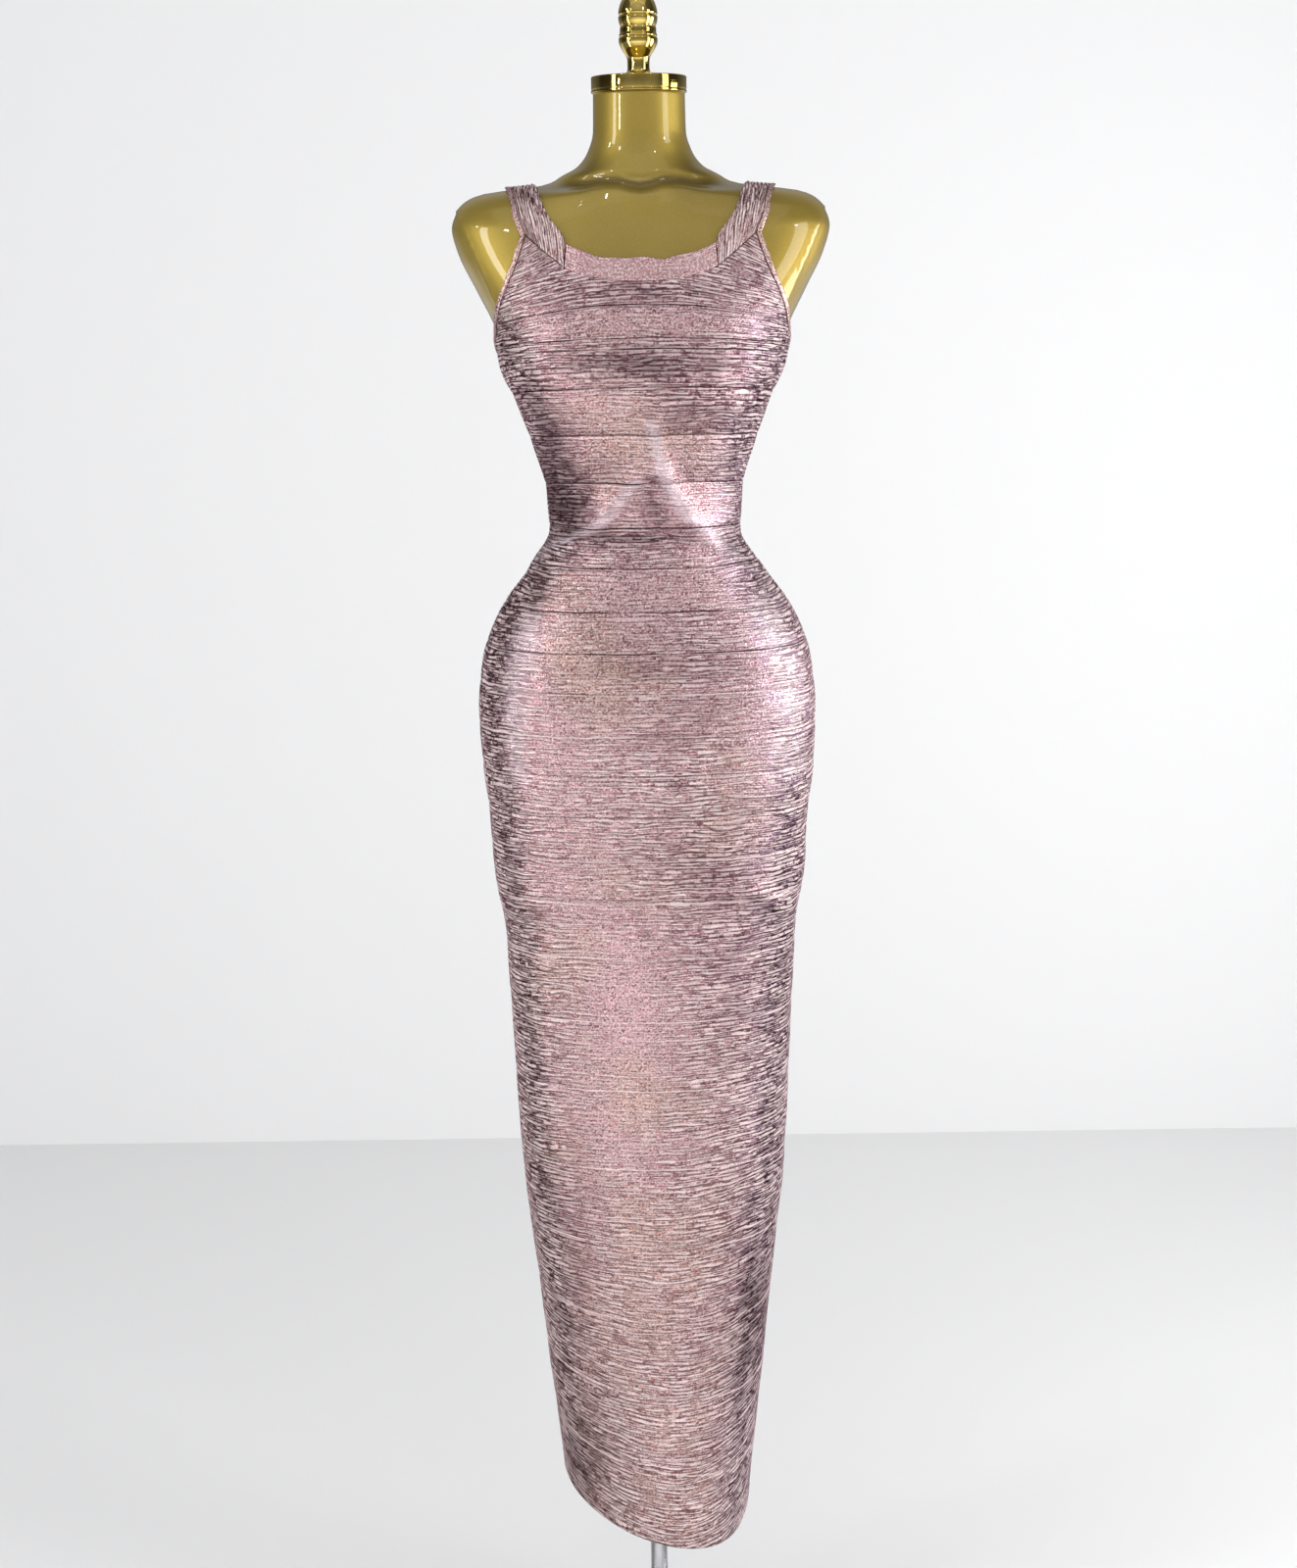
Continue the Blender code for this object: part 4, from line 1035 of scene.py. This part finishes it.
def foil_material(name, whole=None, pitch=0.0042, dash=0.017, bright=0.0, grain=1.0, peach=0.9):
    """Foil-printed knit. whole is a fixed share of whole foil, or else the piece's own amount, which is
    partly a painted sheen.
    """
    material, nodes, shader = new_material(name, Anisotropic=0.4, Specular_Tint=FOIL_TINT)
    remap, spread, linear = nodes.remap, nodes.spread, nodes.linear
    times, larger = nodes.times, nodes.larger
    cloth = nodes.add("UVMap", uv_map="cloth").outputs["UV"]
    height_up = nodes.add("SeparateXYZ", Vector=cloth).outputs["Y"]
    ribs = nodes.place(knit, Vector=cloth, Pitch=pitch, Dash=dash, Seed=0.0)
    fine_ribs = nodes.place(knit, Vector=cloth, Pitch=pitch * 0.56, Dash=dash * 0.55, Seed=40.0)
    shine = nodes.place(glitter, Vector=cloth, Cell=GLITTER_CELL)
    crazing = nodes.noise(nodes.scaled(cloth, 60, 520), 1.0, detail=3.0, roughness=0.6)
    clouds = nodes.noise(cloth, 30, detail=3.0)
    warm = nodes.plus(nodes.noise(cloth, 7), remap(height_up, 0.25, 0.95, 0.20, 0.0))
    foil = nodes.mix(remap(warm, 0.44, 0.72, 0.0, peach), FOIL_PINK, FOIL_PEACH)

    # How worn and shaded, and how bare of whole foil, each point is: the wear is partly real and partly
    # painted shade. Towards the side lines painted shade darkens the foil more.
    if whole is None:
        side_share = nodes.fac("across")
        # Lilac towards the right side as seen from outside: partly the foil's own tint, partly a painted
        # reflection of the cool light there.
        lilac = remap(linear(clouds, 0.5, side_share), 0.70, 1.15, 0.0, 0.8)
        foil = nodes.mix(lilac, foil, FOIL_LILAC)
        # Painted shade towards the side lines, where the dress turns from the light.
        to_side = remap(linear(clouds, 0.2, nodes.maths("ABSOLUTE", side_share)), 0.74, 0.98)
        cloudy = spread(clouds, -0.15, 0.15)
        worn = nodes.plus(nodes.fac("worn"), cloudy)
        patch = larger(worn, 0.0)
        worn = nodes.clamped(nodes.plus(worn, to_side))
        bare = nodes.maths("SUBTRACT", 1.0, nodes.plus(nodes.fac("whole_foil"), cloudy))
    else:
        worn = spread(clouds, 0.30 * (1 - whole), 0.60 * (1 - whole))
        bare = spread(clouds, 0.88 - whole, 1.12 - whole)
    bare = nodes.clamped(bare)

    # Where each colour shows: crazing, specks and sparks of the grain, dark and bright dashes.
    cracked = times(remap(crazing, 0.30, 0.66, 0.35, 1.0), larger(times(bare, 0.8), worn))
    specks = remap(shine["Spark"], 0.55, 0.90, 0.0, 0.85 * grain)
    specks = times(specks, linear(bare, -0.5, 1.0))
    sparks = remap(shine["Grain"], 0.50, 0.58, 0.0, grain + bright)
    sparks = times(sparks, linear(worn, -0.7, 1.0), linear(bare, -0.5, 1.0))
    dark = larger(ribs["Dark"], times(fine_ribs["Dark"], 0.8))
    dark = times(dark, linear(worn, 0.20, 0.80), linear(bare, 0.92, 0.06))
    light = larger(ribs["Light"], times(fine_ribs["Light"], 0.7))
    light = times(light, linear(bare, 0.74, 0.26))
    matt = light
    sunk = 0.0
    layers = [
        (cracked, nodes.mix(worn, FOIL_CRACKED, FOIL_WORN)), (specks, FOIL_SPECK), (sparks, FOIL_BRIGHT),
    ]
    dash_layers = [(dark, nodes.mix(worn, FOIL_CRACK_LINE, BARE_KNIT)), (light, FOIL_BRIGHT)]

    # On a panel there are also a painted highlight on the folds' crests and painted shade in their
    # troughs, and painted shade in the darkened patches. There are also the sunk lines: a dark seam line
    # with painted shade in it, and a painted highlight on the lip below.
    if whole is None:
        light = times(light, linear(patch, -0.7, 1.0))
        gleam = nodes.plus(nodes.fac("gleam"), spread(crazing, -0.35, 0.25))
        # Painted highlight along the folds' crests, and painted shade along their troughs.
        crest = remap(gleam, 0.20, 1.0, 0.0, 0.62)
        layers.append((crest, FOIL_CREST))
        layers.append((remap(gleam, -0.25, -1.1, 0.0, 0.8), FOIL_WORN))
        # Painted shade: the darkened patches darken further.
        layers.append((times(patch, patch, 0.85), FOIL_WORN))
        dash_layers[1] = (light, FOIL_BRIGHT)
        from_line = nodes.plus(nodes.fac("from_line"), spread(clouds, -0.0004, 0.0004))
        stretch = nodes.noise(nodes.scaled(cloth, 14, 60), 1.0, detail=1.0)
        # Painted shade in the sunk lines between the bands, which are also dark seam lines.
        sunk = remap(nodes.maths("ABSOLUTE", from_line), 0.0008, 0.0003)
        sunk = times(
            sunk, remap(height_up, 1.06, 1.14, 0.12, 0.95), remap(stretch, 0.36, 0.56, 0.50, 1.0),
        )
        # Painted highlight on the lip just below each sunk line.
        lip = remap(nodes.maths("ABSOLUTE", nodes.plus(from_line, 0.0014)), 0.0009, 0.0003)
        lip = times(
            lip, remap(stretch, 0.62, 0.42, 0.35, 0.95), remap(height_up, 1.06, 1.14, 1.0, 0.2),
        )
        dash_layers += [(lip, FOIL_BRIGHT), (sunk, BARE_KNIT)]
        matt = larger(light, crest, lip)
    for share, colour in layers + dash_layers:
        foil = nodes.mix(share, foil, colour)
    nodes.feed(shader.inputs["Base Color"], foil)
    nodes.feed(shader.inputs["Metallic"], linear(matt, -0.6, 0.92))
    rough = nodes.plus(linear(dark, 0.25, 0.29), spread(shine["Grain"], -0.05, 0.08))
    if whole is None:
        rough = linear(patch, 0.2, rough)
    nodes.feed(shader.inputs["Roughness"], rough)
    height = nodes.maths("SUBTRACT", light, larger(dark, sunk))
    nodes.bump(shader, linear(shine["Grain"], 0.9, height), 0.0006)
    return material


foil_knit = foil_material("foil_knit")

# The wrong side: the same knit with no foil on it, matt and duller.
knit_inside, nodes, shader = new_material("knit_inside", Roughness=0.85, Sheen_Weight=0.25)
cloth = nodes.add("UVMap", uv_map="cloth").outputs["UV"]
courses = nodes.place(knit, Vector=cloth, Pitch=0.0016, Dash=0.004, Seed=0.0)["Light"]
nodes.feed(shader.inputs["Base Color"], nodes.mix(courses, (0.24, 0.125, 0.16), (0.36, 0.20, 0.25)))
nodes.bump(shader, courses, 0.0003)


def trimmed(grid, bottom=True, top=True):
    """The grid with its sewn borders moved in by half a seam gap."""
    grid = grid.copy()
    borders = [(grid[0], grid[1])] if bottom else []
    borders += [(grid[-1], grid[-2])] if top else []
    borders += [(grid[:, 0], grid[:, 1]), (grid[:, -1], grid[:, -2])]
    for border, beside in borders:
        inward = beside - border
        border += inward / np.linalg.norm(inward, axis=1)[:, None] * SEAM_GAP / 2
    return grid


def from_ends(along):
    """How far each point is from the nearer end, by its distance along a row."""
    return np.minimum(along, along[:, -1:] - along)


def edge_roll(distance, roll):
    """How far a border rolls in, from its depth at the edge to nothing at its reach."""
    reach, depth = roll
    t = np.clip(distance / reach, 0, 1)
    return depth * (1 - np.sqrt(np.clip(1 - (1 - t) ** 2, 0, 1)))


def give_wall(item):
    """Gives a skin its thickness inwards, with the knit's wrong side on the inner face."""
    wall = item.modifiers.new("cloth", "SOLIDIFY")
    wall.thickness = SHELL
    wall.offset = -1.0
    wall.material_offset = 1
    wall.use_quality_normals = True


RIB_SWEEP = 0.040  # how far the skirt's ribs climb towards one side, at the floor
SWEEP_TOP = 0.85
panel_grids = {}
for side, turn in SIDES.items():
    grid, ribs = panel_grid(side)
    panel_grids[side] = grid
    cut = trimmed(grid, bottom=False)
    x, z = cut[..., 0], cut[..., 2]
    crown, from_line = band_relief(ribs)
    sideways = distance_along(cut, 1)
    upward = distance_along(cut, 0)
    roll = edge_roll(from_ends(sideways), ROLLED_SIDE)
    roll = roll + edge_roll(upward[-1] - upward, ROLLED_SEAM) + edge_roll(upward, ROLLED_HEM)
    lift, gleam = fold_lift(side, cut)
    off = np.maximum(WALL + crown + lift + ripple(turn * x, z) - roll, LEAST_OFF)
    side_share = turn * x / half_width_at(z)
    sweep = RIB_SWEEP * np.clip((SWEEP_TOP - ribs) / SWEEP_TOP, 0, 1) * np.clip(side_share, 0, 1) ** 2
    rib_map = columns_of(turn * (sideways - sideways[:, -1:] / 2), ribs - sweep)
    whole_foil = patch_share(WHOLE_FOIL[side], cut, LEAST_WHOLE)
    mesh = skin_from_grid(
        f"{side}_panel", stand_off(cut, off), rib_map, from_line=from_line, gleam=gleam,
        whole_foil=whole_foil * np.clip(WHOLE_AT_MIDDLE - np.abs(side_share) ** 3, 0, 1),
        worn=patch_share(WORN_FOIL[side], cut, 0.0), across=side_share,
    )
    panel = add_piece(f"{side}_panel", mesh, "foil_knit", [f"{side}_body"], foil_knit, knit_inside)
    give_wall(panel)


# ---------------------------------------------------------------- the straps
# One strip of the same knit over each shoulder, its ribs along it, with a narrow turned edge on
# both sides. It is sewn to both panels, and stays on the fitted surface.

STRAP_AXIS_HEIGHT = 1.490
STRAP_STATIONS = [
    # inner_angle, inner_x, outer_angle, outer_x
    (24.0, 0.0712, 44.0, 0.1155),  # front mitre
    (45.0, 0.0895, 58.0, 0.1195),
    (67.0, 0.0985, 74.0, 0.1240),
    (90.0, 0.1030, 90.0, 0.1260),  # top of the shoulder
    (112.0, 0.0995, 106.0, 0.1240),
    (134.0, 0.0900, 122.0, 0.1195),
    (153.0, 0.0735, 136.0, 0.1155),  # back mitre
]
ROWS_A_STATION = 18
STRAP_COLUMNS = round(PANEL_COLUMNS * STRAP_SHARE)
STRAP_RISE = 0.0004  # over a panel's wall
STRAP_PLEATS = 5.5  # soft ridges that run along a strap
PLEAT_HEIGHT = 0.00045
TURNED_EDGE = 0.0022
TURNED_HEIGHT = 0.0005
TURNED_GROOVE = 0.0005  # width of the groove along the turned edge
PLEAT_WANDER = (2.0, 17)  # how far pleats wander, and how fast along the strap
PLEAT_FADES = (0.003, 0.006)  # from the strap's edges and from its ends
ROLLED_STRAP_SIDE = (0.0012, 0.0009)
ROLLED_STRAP_END = (0.0014, 0.0008)
MAP_SHIFT = {"right": 0.0, "left": 0.37}  # so that the left strap's foil isn't the right one's
HANDS = {"right": 1.0, "left": -1.0}

strap_knit = foil_material("strap_knit", whole=0.05, pitch=0.0034, dash=0.026)


def strap_rows(*seams):
    """Rows of points over the +X shoulder, from the front seam to the back seam."""
    ends = []
    for seam in seams:
        turns = np.degrees(np.arctan2(seam[:, 2] - STRAP_AXIS_HEIGHT, -seam[:, 1]))
        ends.append((turns[-1], seam[-1, 0], turns[0], seam[0, 0]))
    stations = np.array([ends[0], *STRAP_STATIONS, ends[1]])
    knots = np.arange(len(stations))
    at = np.arange(0, knots[-1] + SAME_POINT, 1 / ROWS_A_STATION)
    edges = [SmoothCurve(knots, column)(at)[:, None] for column in stations.T]
    share = np.linspace(0, 1, STRAP_COLUMNS + 1)
    turns = np.radians(edges[2] + (edges[0] - edges[2]) * share)
    x = edges[3] + (edges[1] - edges[3]) * share
    directions = columns_of(0, -np.cos(turns), np.sin(turns))
    rows = surface_along(columns_of(x, 0, STRAP_AXIS_HEIGHT), directions)
    rows[0], rows[-1] = seams
    return rows


strap_grid = strap_rows(*(panel_grids[side][-1][:STRAP_COLUMNS + 1] for side in SIDES))
cut = trimmed(strap_grid)
aside, along = distance_along(cut, 1), distance_along(cut, 0)
to_edge = from_ends(aside)
to_end = np.minimum(along, along[-1] - along)
wander = PLEAT_WANDER[0] * np.sin(PLEAT_WANDER[1] * along)
pleats = PLEAT_HEIGHT * np.sin(math.tau * STRAP_PLEATS * aside / aside[:, -1:] + wander)
pleats = pleats * part_way(to_edge, 0, PLEAT_FADES[0]) * part_way(to_end, 0, PLEAT_FADES[1])
turned_edge = bell((to_edge - TURNED_EDGE * 0.5) / (TURNED_EDGE * 0.45))
turned_edge = turned_edge - bell((to_edge - TURNED_EDGE * 1.15) / TURNED_GROOVE)
strap_off = WALL + STRAP_RISE + pleats + TURNED_HEIGHT * turned_edge
strap_off = strap_off - edge_roll(to_edge, ROLLED_STRAP_SIDE) - edge_roll(to_end, ROLLED_STRAP_END)
strap_map = columns_of(along, aside)
for hand, turn in HANDS.items():
    name = f"{hand}_strap"
    points = stand_off(cut, strap_off) * np.array([turn, 1, 1])
    mesh = skin_from_grid(name, points, strap_map + MAP_SHIFT[hand])
    strap = add_piece(name, mesh, "foil_knit", [f"strap_{hand}"], strap_knit, knit_inside)
    give_wall(strap)


# ---------------------------------------------------------------- the neckbands
# A band of double knit along the front and the back of the neck, cut on the other grain, so that
# its foil is hardly cracked. It is mitred into the straps, and its top edge gapes and waves.

NECKBAND_ROWS = 26
NECKBAND_DIP = 3.0  # power of the curve of a neckband's top edge
NECK_FLARE = 0.0018
NECK_WAVE = 0.0008
NECK_EDGE_WAVE = 0.0007
NECK_PUFF = 0.0005  # how far a neckband stands up between its seam and its edge
NECK_WAVES = [(118, 0.8, 1.0), (197, 2.4, 0.7)]  # radians a metre, start and height of two waves
ROLLED_NECK_SEAM = (0.0018, 0.0009)
ROLLED_NECK_EDGE = (0.0012, 0.0007)

neckband_knit = foil_material(
    "neckband_knit", whole=0.94, pitch=0.0036, dash=0.020, bright=0.8, grain=0.22, peach=0.15,
)


def interpolated(at, known, points):
    """Points along a line of points, at these places between the known ones."""
    return columns_of(*(np.interp(at, known, column) for column in points.T))


def neckband_rows(side):
    """Rows of points from the neck seam to the neckband's top edge, from +X to -X."""
    seam = panel_grids[side][-1][STRAP_COLUMNS:-STRAP_COLUMNS]
    mitre = strap_grid[:, -1] if side == "front" else strap_grid[::-1, -1]
    rise = np.linspace(0, 1, NECKBAND_ROWS + 1)
    edge = interpolated(rise * ROWS_A_STATION, np.arange(len(mitre)), mitre)
    share = seam[:, 0] / seam[0, 0]
    low, _, high = NECK[side]
    centre = (low + (high - low) * rise)[:, None]
    x = edge[:, :1] * share
    z = centre + (edge[:, 2:] - centre) * np.abs(share) ** NECKBAND_DIP
    rows = surface_along(columns_of(x, 0, z), np.array([0, -SIDES[side], 0]))
    rows[0] = seam
    return rows


for side in SIDES:
    rows = neckband_rows(side)
    cut = trimmed(rows, top=False)
    along, up = distance_along(cut, 1), distance_along(cut, 0)
    from_middle = along - along[:, -1:] / 2
    rise = np.linspace(0, 1, len(rows))[:, None]
    centred = 1 - (rows[..., 0] / rows[0, 0, 0]) ** 2
    waves = sum(high * np.sin(fast * from_middle + start) for fast, start, high in NECK_WAVES)
    off = WALL + (NECK_FLARE * rise + NECK_WAVE * waves * rise**2) * centred
    off = off + NECK_PUFF * np.sin(math.pi * np.clip(rise * 1.15, 0, 1))
    off = off - edge_roll(up, ROLLED_NECK_SEAM) - edge_roll(from_ends(along), ROLLED_STRAP_END)
    off = off - edge_roll(up[-1:] - up, ROLLED_NECK_EDGE)
    cut[..., 2] += NECK_EDGE_WAVE * waves * rise**3 * centred
    name = f"{side}_neckband"
    mesh = skin_from_grid(name, stand_off(cut, off), columns_of(from_middle, up))
    neckband = add_piece(name, mesh, "band_knit", [f"neckband_{side}"], neckband_knit, knit_inside)
    give_wall(neckband)


# ---------------------------------------------------------------- the armhole bindings
# A narrow strip of the foil knit, folded over each armhole's edge and stitched down along it.

BINDING_WIDTH = 0.0050
BINDING_HEIGHT = 0.0025
BINDING_LIFT = 0.0002
BINDING_STEPS = 420
BINDING_SIDES = 28
SQUARENESS = 0.62  # power of the rounded profile, 1 being an ellipse
CORNER_EASINGS = 6
STITCH_AT = 0.42  # of the way round the binding's outer face
STITCH_WIDTH = 0.12
STITCH_DEPTH = 0.00035
STITCHES = 150
PUCKER = 0.5  # share by which a stitch's depth changes
UNEVEN = [(9, 0.07), (23, 0.05)]  # waves round the armhole, and their share of the width
BINDING_SHIFT = {"right": 0.0, "left": 0.53}

binding_knit = foil_material("binding_knit", whole=0.80, pitch=0.0024, dash=0.018, bright=0.1)

# The closed seam line round the +X armhole, evenly spaced and with its corners eased.
front_edge, back_edge = (panel_grids[side][-1 - CHEST_ROWS:-1, 0] for side in SIDES)
path = np.concatenate([front_edge, strap_grid[:, 0], back_edge[:0:-1], front_edge[:1]])
along = distance_along(path)
path_length = along[-1]
path = interpolated(np.linspace(0, path_length, BINDING_STEPS + 1)[:-1], along, path)
for _ in range(CORNER_EASINGS):
    path = (np.roll(path, 1, axis=0) + 2 * path + np.roll(path, -1, axis=0)) / 4

normals = normals_at(path)
aside = np.cross(np.roll(path, -1, axis=0) - np.roll(path, 1, axis=0), normals)
aside /= np.linalg.norm(aside, axis=1)[:, None]
turns = np.linspace(0, math.tau, BINDING_SIDES + 1)
away, off = (np.sign(wave) * np.abs(wave) ** SQUARENESS for wave in (np.cos(turns), np.sin(turns)))
steps = np.arange(BINDING_STEPS + 1)
along = steps * path_length / BINDING_STEPS
round_trip = (along * math.tau / path_length)[:, None]
uneven = 1 + sum(share * np.sin(waves * round_trip) for waves, share in UNEVEN)
stitch = STITCH_DEPTH * bell((away + 1 - 2 * STITCH_AT) / STITCH_WIDTH) * (off > 0)
pucker = 1 + PUCKER * np.sin(STITCHES * round_trip)
half_width, half_height = BINDING_WIDTH / 2, (BINDING_HEIGHT - BINDING_LIFT) / 2
profile_away = SEAM_GAP + (BINDING_WIDTH - SEAM_GAP) * (1 + away) / 2 * uneven
profile_off = BINDING_LIFT + half_height * (1 + off) - stitch * pucker
path, aside, normals = (line[steps % BINDING_STEPS][:, None] for line in (path, aside, normals))
tube = path + aside * profile_away[..., None] + normals * profile_off[..., None]
round_profile = distance_along(columns_of(away * half_width, off * half_height))
binding_map = columns_of(along[:, None], round_profile)
for hand, turn in HANDS.items():
    name = f"{hand}_armhole_binding"
    points = tube * np.array([turn, 1, 1])
    mesh = skin_from_grid(name, points, binding_map + BINDING_SHIFT[hand], joined=True)
    work = bmesh.new()
    work.from_mesh(mesh)
    if work.calc_volume(signed=True) < 0:
        bmesh.ops.reverse_faces(work, faces=work.faces)
    mesh_of(work, mesh)
    binding = add_piece(name, mesh, "binding_knit", [f"armhole_binding_{hand}"], binding_knit)
